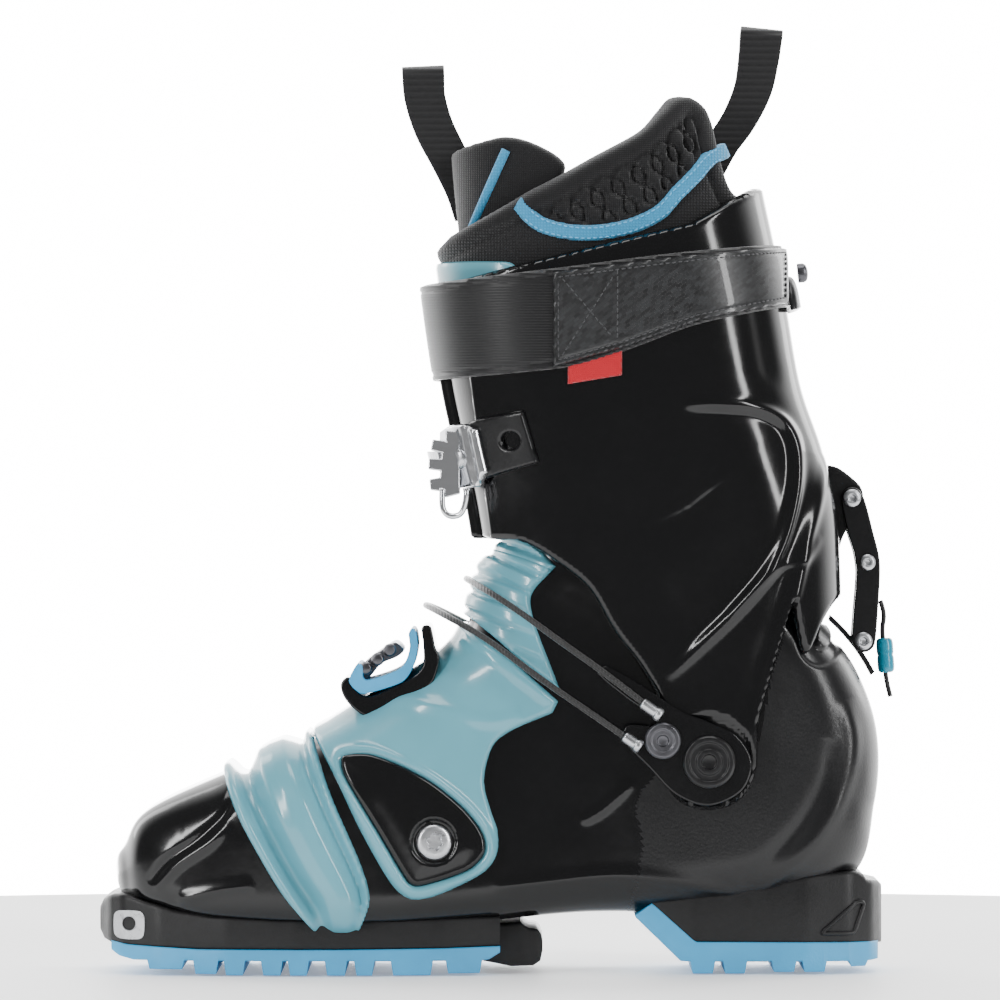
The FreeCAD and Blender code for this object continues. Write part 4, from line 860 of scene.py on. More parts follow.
# ------------------------------------------------------------------ liner
LINER_TOP = [(-27, 268.5), (-25.3, 270.1), (-8.3, 277.5), (15.1, 288.1), (34.0, 298.7), (51.1, 308.2),
             (61.8, 316.7),
             (68.1, 321.5), (74.6, 322.5), (80.9, 318.9), (84.1, 312.5), (87.5, 298), (92.0, 287.9)]
LINER_SIDE = smooth_closed([(-40.0, 258.0)] + LINER_TOP + [(112.0, 285.0), (112.0, 182.0), (-40.0, 182.0)],
                           sharp=(0, 14, 15, 16))
LINER_EDGE = smooth_open([(-42, 262)] + LINER_TOP[1:])
STRIPE = smooth_open([(5.0, 281.0), (15.1, 273.2), (30.0, 270.1), (45.9, 272.1), (58, 277.5), (66, 285),
                      (74.0, 292.0), (80.5, 298.5), (88.4, 302.5)])


def quilt(points, d):
    """Ogee quilting above the stripe, a padded roll along the rim and soft puckers below."""
    x, z = points[..., 0], points[..., 2]
    edge, _, _ = distance(x, z, LINER_EDGE)
    stripe, side, along = distance(x, z, STRIPE)
    s, t = x * 0.86 + z * 0.5, -x * 0.5 + z * 0.86
    wobble = 0.27 * np.sin(2 * math.pi * t / 17.0)
    lanes = [np.abs(((s / 8.6 + sign * wobble) % 1.0) - 0.5) for sign in (-1, 1)]
    cell = np.minimum(0.5 - lanes[0], 0.5 - lanes[1])
    area = step01(edge, 8.5, 10.5) * step01(stripe, 3.4, 4.6) * (side > 0)
    pattern = (-3.4 * np.exp(-(cell / 0.12) ** 2) + 0.8) * area
    roll = 1.2 * np.exp(-((edge - 4.2) / 3.4) ** 2)
    seam = -1.3 * np.exp(-((edge - 8.6) / 1.0) ** 2)
    return pattern + roll + seam


liner = panel("liner_leg", CUFF, (1.9, 6.98, 0, 1), 1.15, LINER_SIDE, -6.6, -14.0, "mesh", "cuff",
              ["liner_cuff"], extra=quilt, edge=3.2)
liner.data.materials.append(MATS["knit"])
for face in liner.data.polygons:
    cx, cz = face.center.x / MM - SHIFT, face.center.z / MM
    if cz > 262 and cz > np.interp(cx, [-30, 5, 15, 46, 62, 74, 88], [262, 276, 272, 272, 279, 291, 301]):
        face.material_index = 1

LEG = CUFF.grid(1.5, 6.98, 420, 560)


def on_leg(path, side, height):
    """Points on one side of the cuff's surface, above side-view places."""
    points, normals = LEG[0].reshape(-1, 3), LEG[1].reshape(-1, 3)
    half = points[:, 1] * side > -0.5
    points, normals = points[half], normals[half]
    out = []
    for px, pz in path:
        gap = (points[:, 0] - px) ** 2 + (points[:, 2] - pz) ** 2
        near = np.argpartition(gap, 5)[:5]
        weight = 1 / (gap[near] + 0.05)
        weight = weight / weight.sum()
        spot = (points[near] * weight[:, None]).sum(0)
        turn = (normals[near] * weight[:, None]).sum(0)
        out.append(spot + turn / np.linalg.norm(turn) * height)
    return np.array(out)


def dashes(name, path, pitch, fill, radius, mat, body):
    """Row of stitches: short rounded threads, one mesh."""
    path = np.asarray(path)
    length = np.concatenate([[0], np.cumsum(np.linalg.norm(np.diff(path, axis=0), axis=1))])
    verts, faces = [], []
    turns = 6
    for k in range(int(length[-1] / pitch)):
        a, b = k * pitch, k * pitch + pitch * fill
        start = np.array([np.interp(a, length, path[:, i]) for i in range(3)])
        stop = np.array([np.interp(b, length, path[:, i]) for i in range(3)])
        axis = Vector(stop - start)
        if axis.length < 1e-6:
            continue
        side = axis.orthogonal().normalized()
        other = axis.normalized().cross(side)
        first = len(verts)
        for share, size in ((0.0, 0.15), (0.1, 0.75), (0.5, 1.0), (0.9, 0.75), (1.0, 0.15)):
            centre = Vector(start) + axis * share
            for j in range(turns):
                turn = 2 * math.pi * j / turns
                verts.append(tuple(centre + (side * math.cos(turn) + other * math.sin(turn)) * radius * size))
        for ring in range(4):
            for j in range(turns):
                a0, a1 = first + ring * turns + j, first + ring * turns + (j + 1) % turns
                faces.append((a0, a1, a1 + turns, a0 + turns))
        faces.append(tuple(first + j for j in reversed(range(turns))))
        faces.append(tuple(first + 4 * turns + j for j in range(turns)))
    make(name, verts, faces, mat, body)


def ribbon_outline(path, half):
    tangent = np.gradient(path, axis=0)
    tangent = tangent / np.linalg.norm(tangent, axis=1, keepdims=True)
    normal = np.stack([-tangent[:, 1], tangent[:, 0]], 1)
    return np.vstack([path + normal * half, (path - normal * half)[::-1]])


for side, label in SIDES:
    panel(f"liner_stripe_{label}", CUFF, (5.2, 6.6, *((0.5, 1.0) if side < 0 else (0.0, 0.5))), 0.8,
          ribbon_outline(STRIPE, 3.0), -5.2, -7.5, "piping", "cuff", side=side, edge=0.8)
    for offset, row in ((1.9, "upper"), (-1.9, "lower")):
        line = ribbon_outline(STRIPE, abs(offset))
        line = line[:len(STRIPE)] if offset > 0 else line[len(STRIPE):][::-1]
        dashes(f"stripe_stitch_{row}_{label}", on_leg(line[4:-2], side, -5.0), 2.2, 0.68, 0.3, "blue_thread",
               "cuff")

LINER_TONGUE_SIDE = smooth_closed([
    (-40.0, 292.0), (-34, 300), (-14.8, 304.6), (-1.9, 306.0), (11.8, 304.1), (23.7, 296.0), (20.0, 285.0),
    (14.0, 250.0),
    (-40.0, 250.0)], sharp=(7, 8))
tongue_pad = panel("liner_tongue_pad", CUFF, (4.6, 6.98, 0.1, 0.9), 1.2, LINER_TONGUE_SIDE, -14.3, -18.7,
                   "knit", "cuff", ["liner_tongue"], edge=2.2)


# ------------------------------------------------------------------ power strap
STRAP_SIDE = smooth_closed([
    (-45.0, 250.4), (-28.5, 252.0), (19.2, 257.3), (61.8, 262.7), (104.3, 266.8), (125.0, 267.5),
    (125.0, 245.5),
    (109.5, 244.6), (72.4, 237.2), (45.9, 227.6), (23.6, 221.3), (-26.3, 216.9), (-45.0, 216.0)],
    sharp=(0, 5, 6, 12))


def hem(points, d):
    return -0.7 * np.exp(-((d - 2.6) / 0.5) ** 2)


panel("strap_band", CUFF, (3.8, 5.8, 0, 1), 0.95, STRAP_SIDE, 2.5, 0.2, "strap", "cuff", ["power_strap"],
      edge=0.8, extra=hem)
PATCH_SIDE = np.array([(19.2, 256.0), (61.8, 261.4), (102.5, 265.4), (102.5, 244.6), (72.4, 238.6),
                       (45.9, 229.0),
                       (19.2, 221.6)])
panel("strap_patch_skin", CUFF, (3.9, 5.7, 0.5, 1.0), 0.8, PATCH_SIDE, 4.1, 2.3, "patch", "cuff",
      ["strap_patch"], side=-1, edge=0.9, extra=lambda p, d: -0.35 * np.exp(-((d - 1.9) / 0.6) ** 2))
border = np.array([(21.2, 254.2), (61.8, 259.3), (101, 263.2), (101, 246.6), (72, 240.7), (45.4, 231.1),
                   (21.2, 224.2),
                   (21.2, 254.2)])
cross = [[(42.6, 256.8), (42.6, 230.4)], [(22.6, 253.6), (41.6, 231.6)], [(22.6, 226.0), (41.6, 255.2)]]


def straight(corners, step=2.0):
    out = []
    for a, b in zip(corners, corners[1:]):
        count = max(2, int(math.dist(a, b) / step))
        out += [(a[0] + (b[0] - a[0]) * k / count, a[1] + (b[1] - a[1]) * k / count) for k in range(count)]
    return out + [tuple(corners[-1])]


dashes("patch_border_stitch", on_leg(straight(border), -1, 4.1), 2.3, 0.7, 0.26, "thread", "cuff")
for index, line in enumerate(cross):
    dashes(f"patch_cross_stitch_{index}", on_leg(straight(line), -1, 4.15), 2.3, 0.7, 0.26, "thread", "cuff")
TAG_SIDE = np.array([(24.6, 224.6), (44.3, 229.6), (44.3, 218.6), (24.6, 215.3)])
panel("tag_skin", CUFF, (3.6, 4.8, 0.5, 1.0), 0.6, TAG_SIDE, 1.9, 0.4, "red", "cuff", ["strap_tag"],
      side=-1, edge=0.5)
KEEPER_SIDE = smooth_closed([(103.0, 267.6), (110.5, 268.0), (122, 268.2), (122, 244), (111.5, 243.0),
                             (104.0, 242.2)], sharp=(0, 5))
panel("keeper_skin", CUFF, (4.0, 5.7, 0, 1), 0.8, KEEPER_SIDE, 5.2, 2.6, "satin", "cuff", ["strap_keeper"],
      edge=1.0)
lathe("strap_rivet_head", (110.0, -1.0, 257.0), (1, 0, 0.1),
      [(0, 0.0), (3.6, 0.0), (3.6, 2.2), (2.9, 3.3), (1.4, 3.8), (0, 3.9)], "dark_steel", "cuff",
      ["strap_rivet"])

# Blue piping of the liner's tongue.
for side, label in SIDES:
    tube(f"liner_piping_{label}",
         on_leg([(-30.5, 258), (-24.5, 266), (-18.5, 275.3), (-9.5, 289), (-1.5, 300.8)], side, -13.6), 1.7,
         "piping", "cuff")


# ------------------------------------------------------------------ pull loops
def webbing_loop(name, centre, width, y_half, thick, mat, body, node_name):
    """Loop of flat webbing: centre line in side view, its two faces across the boot."""
    path = smooth_open(centre, 2.0)
    n, columns = len(path), 7
    verts, faces = [], []
    tangent = np.gradient(path, axis=0)
    tangent = tangent / np.linalg.norm(tangent, axis=1, keepdims=True)
    across = np.stack([-tangent[:, 1], tangent[:, 0]], 1)
    fold = [(y, n - 1) for y in np.linspace(-y_half, y_half, 9)[1:-1]]
    steps = [(-y_half, s) for s in range(n)] + fold + [(y_half, s) for s in range(n - 1, -1, -1)]
    for y, s in steps:
        lift = 0.0
        if -y_half < y < y_half:
            lift = math.sqrt(max(0.0, 1 - (y / y_half) ** 2)) * y_half * 0.35
        pinch = min(1.0, 0.35 + 0.65 * s / (n - 1) * 2.2)
        centre_point = path[s] + tangent[s] * lift
        half = np.interp(s, [0, n - 1], width)
        for f in np.linspace(-1, 1, columns):
            spot = centre_point + across[s] * f * half
            verts.append((spot[0], y * (pinch if abs(y) == y_half else 1), spot[1]))
    for i in range(len(steps) - 1):
        for k in range(columns - 1):
            a = i * columns + k
            faces.append((a, a + 1, a + columns + 1, a + columns))
    piece = make(name, verts, faces, mat, body, [node_name])
    solid = piece.modifiers.new("thickness", "SOLIDIFY")
    solid.thickness = thick * MM
    solid.offset = 0
    edge = piece.modifiers.new("edge", "BEVEL")
    edge.width, edge.segments, edge.limit_method = 0.35 * MM, 2, "ANGLE"


for end, line, width in (
        ("front", [(-10.5, 278), (-13.5, 288), (-18.5, 299), (-24.5, 311), (-27.8, 322), (-28.4, 331)],
         (6.4, 7.8)),
        ("rear", [(78.0, 296), (82.5, 305), (88.5, 314), (93.5, 325), (95.6, 336), (96.6, 345)], (5.5, 7.8))):
    webbing_loop(f"{end}_loop", line, width, 5.6, 1.5, "webbing", "cuff", f"{end}_pull_loop")


# ------------------------------------------------------------------ cuff buckle
BASE_SIDE = np.array([(-22.0, 197.5), (-7.0, 203.1), (8.7, 205.9), (14.4, 186.9), (3.0, 183.5),
                      (-20.0, 175.5)])
panel("ladder_base_skin", CUFF, (2.4, 3.9, 0.5, 1.0), 0.6, BASE_SIDE, 2.9, 0.2, "satin", "cuff",
      ["ladder_base"], side=-1, edge=0.9, cuts=[np.array([(4.7 + 3.1 * math.cos(a), 195 + 3.1 * math.sin(a))
                                                        for a in np.linspace(0, 2 * math.pi, 25)[:-1]])])
PLATE_SIDE = np.array([(-17.5, 199.5), (-15.0, 201.2), (-10.1, 201.7), (-5.8, 199.6), (-2.2, 184.1),
                       (-4.4, 178.7),
                       (-14.6, 177.8), (-17.5, 181.0)])
panel("ladder_plate_skin", CUFF, (2.4, 3.9, 0.5, 1.0), 0.5, PLATE_SIDE, 5.6, 3.0, "chrome", "cuff",
      ["cuff_ladder_plate"], side=-1, edge=0.8,
      extra=lambda p, d: -0.7 * np.exp(-((p[..., 0] + 6.5 + (p[..., 2] - 190) * 0.2) / 0.8) ** 2))
TEETH = np.array([(-15.0, 198.0), (-20.0, 198.6), (-19.8, 194.6), (-24.6, 195.4), (-25.4, 191.4),
                  (-21.2, 190.4), (-21.4, 188.2),
                  (-26.0, 188.4), (-26.2, 184.4), (-21.8, 183.8), (-22.0, 181.4), (-25.8, 180.8),
                  (-25.4, 176.8), (-20.8, 176.2),
                  (-20.0, 174.0), (-14.6, 175.4)])
for index, (low, high) in enumerate(((-40.0, -37.4), (-20.6, -18.0))):
    prism(f"ladder_rail_{index}", TEETH, low, high, "chrome", "cuff", bevel=0.5)
for k, (x, z) in enumerate(((-22.6, 193.2), (-23.6, 186.4), (-23.2, 178.9))):
    lathe(f"ladder_rung_{k}", (x, -39.6, z), (0, 1, 0), rod(1.9, 21.0), "chrome", "cuff", turns=24)
prism("ladder_bed", np.array([(-14.6, 197.0), (-18.6, 197.2), (-20.2, 186), (-19.0, 175.5), (-14.6, 175.5)]),
      -38.6, -19.6, "chrome", "cuff", bevel=0.8)
tube("ladder_wire", [(-21.0, -41.0, 177.5), (-21.4, -41.0, 171.5), (-20.4, -41.0, 167.6),
                     (-16.0, -41.4, 166.8), (-12.6, -42.4, 168.8),
                     (-12.0, -43.4, 177.5)], 1.1, "chrome", "cuff", ())
screw_at = on_leg([(-10.4, 189.4)], -1, 5.2)[0]
screw_axis = on_leg([(-10.4, 189.4)], -1, 9.2)[0] - screw_at
lathe("ladder_screw_head", screw_at, screw_axis,
      [(0, 0), (4.0, 0), (4.0, 1.0), (3.1, 2.0), (1.9, 2.2), (1.75, 0.9), (0, 0.8)], "steel", "cuff",
      ["ladder_screw"])


# ------------------------------------------------------------------ ankle, guide arm, cables
CAP = [(0, 0), (9.6, 0), (9.6, 1.3), (8.8, 2.2), (7.4, 2.2), (6.9, 1.6), (5.0, 1.6), (4.5, 2.3), (2.9, 2.3),
       (2.6, 0.9), (0, 0.9)]
for side, label in SIDES:
    lathe(f"pivot_cap_{label}_skin", (ANKLE[0], side * 52.0, ANKLE[1]), (0, side, 0), CAP, "satin",
          "rear_foot", [f"pivot_cap_{label}"])
ARM_SIDE = smooth_closed([
    (35.0, 110.5), (38.4, 113.0), (52.0, 105.5), (66.0, 96.5), (76.0, 92.5), (86.0, 87.5), (91.5, 78.0),
    (88.0, 67.5), (76.0, 62.0),
    (64.0, 66.0), (54.0, 76.0), (45.0, 85.5), (45.5, 90.8), (51.0, 91.5), (56.0, 90.8), (57, 93.5),
    (46.0, 101.0)])
prism("guide_arm", ARM_SIDE, -51.8, -49.0, "shell", "rear_foot", ["cable_guide_arm_medial"], bevel=0.9)
lathe("pulley_head", (59.2, -51.9, 85.7), (0, -1, 0),
      [(0, 0), (6.7, 0), (6.7, 1.5), (5.9, 2.3), (4.3, 2.3), (3.9, 1.8), (2.2, 1.8), (1.9, 0.9), (0, 0.8)],
      "dark_steel", "rear_foot", ["cable_pulley_medial"])
UPPER = [(57.0, -53.9, 95.8), (52.0, -53.4, 99.5), (38.4, -53.4, 110.3), (22.2, -52.0, 121.4),
         (6.0, -49.0, 133.5),
         (-5.5, -39.5, 140.6), (-11.6, -20.0, 143.8), (-12.8, 0.0, 144.3), (-11.6, 20.0, 143.8),
         (-5.5, 39.5, 140.6),
         (6.0, 49.0, 133.0), (15.0, 53.0, 122.0)]
LOWER = [(50, -53.9, 84.0), (45.5, -53.4, 87.0), (31.5, -53.2, 96.8), (11.1, -52.0, 110.5),
         (-4.0, -48.0, 122.5),
         (-18.0, -38.0, 130.0), (-26.0, -20.0, 134.0), (-28.0, 0.0, 134.5), (-26.0, 20.0, 134.0),
         (-18.0, 38.0, 130.0),
         (-4.0, 48.0, 122.5), (8.0, 53.0, 114.0)]
for name, route in (("cable_upper", UPPER), ("cable_lower", LOWER)):
    tube(name, route, 1.15, "cable", "rear_foot", ["instep_cables"])
for name, a, b in (("ferrule_upper", (51.6, -54.0, 99.6), (58.6, -54.4, 94.6)),
                   ("ferrule_lower", (45.0, -54.0, 87.4), (51.2, -54.4, 83.2))):
    axis = Vector(b) - Vector(a)
    size = axis.length
    lathe(name, a, axis, [(0, 0), (1.7, 0), (2.1, 0.5), (2.1, size - 2.5), (2.6, size - 2.0),
                          (2.6, size - 0.6), (2.0, size), (0, size)],
          "steel", "rear_foot", ["cable_ferrules"], turns=24)


def screw(name, centre, axis, radius, height, mat, body, nodes):
    """Pan head with a six-lobed drive sunk in it."""
    axis = Vector(axis).normalized()
    side = axis.orthogonal().normalized()
    other = axis.cross(side)
    turns = 72
    rings = [(radius, 0, 0), (radius, height * 0.45, 0), (radius * 0.93, height * 0.8, 0),
             (radius * 0.8, height * 0.97, 0),
             (radius * 0.6, height, 0), (radius * 0.44, height, 1), (radius * 0.41, height - 0.25, 1),
             (radius * 0.38, height - 1.5, 1), (0.02, height - 1.6, 0)]
    verts, faces = [], []
    for r, h, lobes in rings:
        for k in range(turns):
            a = 2 * math.pi * k / turns
            size = r * (1 + 0.13 * math.cos(6 * a) * lobes)
            spot = Vector(centre) + side * size * math.cos(a) + other * size * math.sin(a)
            verts.append(tuple(spot + axis * h))
    for i in range(len(rings) - 1):
        for k in range(turns):
            a, b = i * turns + k, i * turns + (k + 1) % turns
            faces.append((a, b, b + turns, a + turns))
    faces.append(tuple(range(turns)))
    faces.append(tuple(reversed(range((len(rings) - 1) * turns, len(rings) * turns))))
    piece = orient(make(name, verts, faces, mat, body, nodes))
    piece.data.set_sharp_from_angle(angle=math.radians(40))


SIDE_GRID = FOOT.grid(3.0, 8.0, 200, 500)


def on_foot(x, z, side, height):
    points, normals = SIDE_GRID[0].reshape(-1, 3), SIDE_GRID[1].reshape(-1, 3)
    half = points[:, 1] * side > 0
    points, normals = points[half], normals[half]
    near = np.argmin((points[:, 0] - x) ** 2 + (points[:, 2] - z) ** 2)
    return points[near] + normals[near] * height, normals[near]


for side, label in SIDES:
    spot, turn = on_foot(*SCREW, side, 3.0)
    screw(f"side_screw_{label}", tuple(spot), tuple(turn), 6.7, 3.4, "steel", "rear_foot",
          ["side_cover_screws"])


# ------------------------------------------------------------------ soles
def wide(x, table):
    xs, ws = zip(*table)
    return np.interp(x, xs, ws)


def sole_piece(name, low, top, table, mat, body, nodes, spread=0.0, radius=1.2, cell=1.5):
    """Sole block: rounded cross sections along the boot between an underside and a top line."""
    low, top = np.array(low, float), np.array(top, float)
    start, stop = max(low[0, 0], top[0, 0]), min(low[-1, 0], top[-1, 0])
    xs = np.unique(np.round(np.concatenate([np.arange(start, stop, cell), low[:, 0], [start, stop]]), 3))
    xs = xs[(xs >= start) & (xs <= stop)]
    turn = np.linspace(0, math.pi / 2, 5)
    verts, faces = [], []
    for x in xs:
        z0, z1 = np.interp(x, low[:, 0], low[:, 1]), np.interp(x, top[:, 0], top[:, 1])
        z1 = max(z1, z0 + 0.3)
        w = wide(x, table) + spread
        r = min(radius, (z1 - z0) * 0.45)
        quarter = [(w - r + r * math.sin(a), z0 + r - r * math.cos(a)) for a in turn]
        quarter += [(w - r + r * math.cos(a), z1 - r + r * math.sin(a)) for a in turn]
        ring = [(0.0, z0)] + quarter + [(0.0, z1)] + [(-y, z) for y, z in reversed(quarter)]
        verts += [(x, y, z) for y, z in ring]
    count = len(verts) // len(xs)
    for i in range(len(xs) - 1):
        for k in range(count):
            a, b = i * count + k, i * count + (k + 1) % count
            faces.append((a, b, b + count, a + count))
    faces.append(tuple(range(count)))
    faces.append(tuple(reversed(range(len(verts) - count, len(verts)))))
    piece = orient(make(name, verts, faces, mat, body, nodes))
    piece.data.set_sharp_from_angle(angle=math.radians(38))
    return piece


FRONT_PLAN = [(-146.5, 18), (-145.4, 21), (-143, 28), (-138, 33.5), (-125, 40), (-100, 45), (-75, 47.5),
              (-46, 47.5),
              (-20, 43.5), (0, 39), (15, 38)]
HEEL_PLAN = [(48, 32.5), (70, 34), (112, 34.5), (128, 31), (136, 25), (139.5, 17), (141, 12)]


def steps(lugs, base):
    """Underside of a lugged sole from front to back: each lug is (front, back, ground)."""
    out = []
    for x0, x1, low in lugs:
        out += [(x0 - 0.9, base), (x0, low), (x1, low), (x1 + 0.9, base)]
    return out


FRONT_LUGS = [(-128.0, -116.0, 2.0), (-111.0, -103.5, 0.4), (-99.8, -93.7, 0), (-86.2, -80.0, 0),
              (-76.4, -70.4, 0),
              (-62.9, -56.5, 0), (-52.2, -46.6, 0), (-38.9, -25.3, 0), (-18.9, -7.4, 0.6)]
outsole = sole_piece("front_outsole", [(-142.4, 8.6), (-139.5, 6.6), (-134.0, 5.2)] + steps(FRONT_LUGS,
                                                                                            5.2) + [(-4.0,
                                                                                                     5.6),
                                                                                                    (0.0,
                                                                                                     8.0)],
                     [(-142.4, 12.0), (-136, 10.8), (-110, 9.4), (-60, 9.4), (-20, 9.8), (0.0, 10.4)],
                     FRONT_PLAN, "blue", None, ["toe_outsole", "ball_outsole"], spread=0.5, radius=0.9)
front_frame = sole_piece("front_frame", [(-147.0, 15.5), (-145.4, 12.4), (-142, 11.0), (-136, 10.0),
                                         (-110, 8.8), (-60, 8.8), (-20, 9.1), (0.0, 9.8)],
                         [(-147.0, 24.0), (-146.0, 26.6), (-143.6, 28.2), (-141, 29.0), (-137.3, 29.4),
                          (-130.6, 27.0), (-118, 23.6), (-104.7, 21.6),
                          (-78.4, 20.4), (-40, 20.6), (0.0, 21.5)], FRONT_PLAN, "matte", None,
                         ["toe_sole_frame", "ball_sole_frame"], radius=2.0)
for piece in (outsole, front_frame):
    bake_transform(piece)

HEEL_LUGS = [(70.5, 77.8, 0.0), (82.4, 89.5, 0.0), (100.2, 107.5, 0.6), (111.4, 118.7, 0.6),
             (128.6, 134.0, 2.4)]
sole_piece("heel_rubber", [(49.5, 20.6), (66.0, 4.6)] + steps(HEEL_LUGS, 4.4) + [(138.9, 4.7)],
           [(49.5, 21.4), (55.6, 25.8), (71.5, 11.6), (138.9, 11.4)], HEEL_PLAN, "blue", "rear_foot",
           ["heel_outsole"],
           spread=0.5, radius=0.9)
sole_piece("heel_body", [(55.0, 24.6), (70.7, 10.8), (100, 10.6), (140.4, 10.6)],
           [(55.0, 25.4), (58.0, 30.2), (64.0, 31.4), (78.0, 32.0), (100.0, 34.0), (116.0, 36.5),
            (130.0, 37.5), (133.4, 36.0), (134.4, 34.0),
            (139.5, 33.2), (140.4, 31.8)], HEEL_PLAN, "matte", "rear_foot", ["heel_block"], radius=2.0)
sole_piece("second_heel_skin", [(-6, 4.4), (4.0, 2.4), (12.2, 2.6), (14.8, 4.4), (15.6, 8.0)],
           [(-6, 19.5), (1.0, 18.2), (7.8, 18.8), (9.6, 16.6), (13.4, 16.2), (15.0, 14.6), (15.6, 12.4)],
           [(-10, 30), (16, 29)], "matte", "rear_foot", ["second_heel"], radius=1.6)
for side, label in SIDES:
    hole = smooth_closed([(117.4, 14.6), (129.6, 14.6), (133.6, 26.0), (130.6, 26.2)], 1.2,
                         sharp=(0, 1, 2, 3))
    tube(f"heel_window_{label}", [(x, side * (wide(x, HEEL_PLAN) + 0.2), z) for x, z in hole[::2]], 0.8,
         "matte", "rear_foot",
         cyclic=True)


def toe_socket(side, label):
    """Steel cheek plate let into the frame, with a conical seat in the middle."""
    radius, floor_share, turns = 2.7, 0.25, 32
    plate = smooth_closed([(-141.3, 21.5), (-139.5, 23.0), (-131.5, 22.9), (-130.0, 21.0), (-130.2, 14.2),
                           (-132.0, 12.8), (-139.0, 12.9), (-141.2, 14.5)], 1.0)
    angles = np.linspace(0, 2 * math.pi, turns + 1)[:-1]
    hole = [(SOCKET[0] + radius * math.cos(a), SOCKET[1] + radius * math.sin(a)) for a in angles]
    bm = bmesh.new()

    def ring(outline, out, share=1.0):
        """Vertices of an outline on the frame's side, drawn in towards the socket's middle by share."""
        return [bm.verts.new((x * share + SOCKET[0] * (1 - share), side * (wide(x, FRONT_PLAN) + out),
                              z * share + SOCKET[1] * (1 - share))) for x, z in outline]

    def pairs(loop):
        return list(zip(loop, loop[1:] + loop[:1]))

    edge, back = ring(plate, 0.35), ring(plate, -3.0)
    rim, seat = ring(hole, 0.35), ring(hole, -2.6, floor_share)
    face_edges = [bm.edges.new(pair) for pair in pairs(edge) + pairs(rim)]
    bmesh.ops.triangle_fill(bm, use_beauty=True, edges=face_edges)
    for upper, lower_ring in ((edge, back), (rim, seat)):
        for (a, b), (c, d) in zip(pairs(upper), pairs(lower_ring)):
            bm.faces.new((a, b, d, c))
    bm.faces.new(seat)
    bm.faces.new(back)
    bmesh.ops.recalc_face_normals(bm, faces=bm.faces)
    mesh = bpy.data.meshes.new(f"toe_socket_{label}")
    bm.to_mesh(mesh)
    bm.free()
    for v in mesh.vertices:
        v.co = ((v.co.x + SHIFT) * MM, v.co.y * MM, v.co.z * MM)
    mesh.materials.append(MATS["steel"])
    finish_piece(link(f"toe_socket_{label}", mesh), "toe", ["toe_tech_fitting"])


for side, label in SIDES:
    toe_socket(side, label)


# ------------------------------------------------------------------ lower buckle
BASE_U = smooth_closed([(-58.2, 106.0), (-57.2, 101.5), (-53.4, 96.9), (-48.2, 94.1), (-38, 98.5),
                        (-28.2, 103.3), (-24.2, 107.2),
                        (-22.1, 115.6), (-23.6, 119.5), (-25.4, 127.3), (-28.6, 127.0), (-28.0, 120),
                        (-28.2, 113.0), (-31.5, 109.0), (-47.0, 101.6),
                        (-51.5, 102.6), (-53.6, 107.6), (-56.0, 108.6)], 1.2)
prism("lower_buckle_saddle", BASE_U, -37.0, 34.0, "shell", "rear_foot", ["lower_buckle_base"], bevel=0.9)
CHANNEL = smooth_closed([(-55.2, 107.2), (-52.6, 103.6), (-49.7, 102.3), (-35.9, 106.6), (-31.8, 112.0),
                         (-30.0, 119.5), (-30.6, 125.0), (-32.0, 126.5),
                         (-33.4, 124.5), (-33.0, 119.0), (-35.4, 112.8), (-40, 110.0), (-48.5, 107.4),
                         (-50.0, 108.5), (-50.0, 112.6), (-52.0, 113.6)], 1.2)
prism("lower_buckle_liner", CHANNEL, -38.4, 28.0, "blue", "rear_foot", ["lower_buckle_channel"],
      bevel=0.6)


def tilted(origin, degrees):
    """Turns places given along and across a sloping part into side-view places."""
    c, s = math.cos(math.radians(degrees)), math.sin(math.radians(degrees))
    return lambda u, v: (origin[0] + u * c - v * s, origin[1] + u * s + v * c)


buckle_spot = tilted((-40.0, 104.0), 37.3)
cable_spot = tilted((28.0, 104.0), -50)
lever_line = [buckle_spot(*p) for p in ((-6.5, 8.2), (-5.6, 12.4), (-1.0, 13.6), (6, 13.4), (11.6, 12.6),
                                        (12.4, 8.4), (9.0, 8.0), (3, 9.4), (-3, 8.2))]
prism("lower_lever_skin", smooth_closed(lever_line, 1.0), -30.0, 30.0, "dark_steel", "lower_lever",
      ["lower_buckle_lever"],
      bevel=0.7)
for k, u in enumerate((-2.5, 3.0, 8.5)):
    spot = buckle_spot(u, 11.6)
    lathe(f"buckle_pin_{k}", (spot[0], -35.0 - 0.8 * (k == 1), spot[1]), (0, -1, 0),
          [(0, 0), (2.4, 0), (2.4, 2.2), (1.8, 3.2), (0, 3.4)], "dark_steel", "rear_foot",
          ["lower_buckle_adjuster"] if k == 1 else (), turns=24)


# ------------------------------------------------------------------ lateral levers
prism("cable_base_skin", smooth_closed([cable_spot(*p) for p in ((-13, -7), (-11, -9), (12, -9), (15, -6),
                                                                 (15, 6), (12, 9), (-11, 9), (-13, 7))], 1.2),
      40.0, 48.2, "matte", "rear_foot", ["cable_lever_base"], bevel=0.9)
prism("cable_lever_skin", smooth_closed([cable_spot(*p) for p in ((-1.3, -5.5), (2, -7), (26, -7), (34, -8),
                                                                  (39, -6.5), (40, 0), (39, 6.5), (34, 8),
                                         (26, 7), (2, 7), (-1.3, 5.5))], 1.2),
      49.3, 52.8, "shell", "cable_lever", ["cable_lever"], bevel=1.1)
panel("cuff_buckle_base_skin", CUFF, (2.3, 3.9, 0.0, 0.5), 0.8,
      smooth_closed([(2.0, 202.0), (44.0, 196.0), (42.0, 176.0), (0.0, 178.0)], 1.5, sharp=(0, 1, 2, 3)),
      3.5, 0.2, "satin", "cuff", ["cuff_buckle_base"], side=1, edge=1.0)
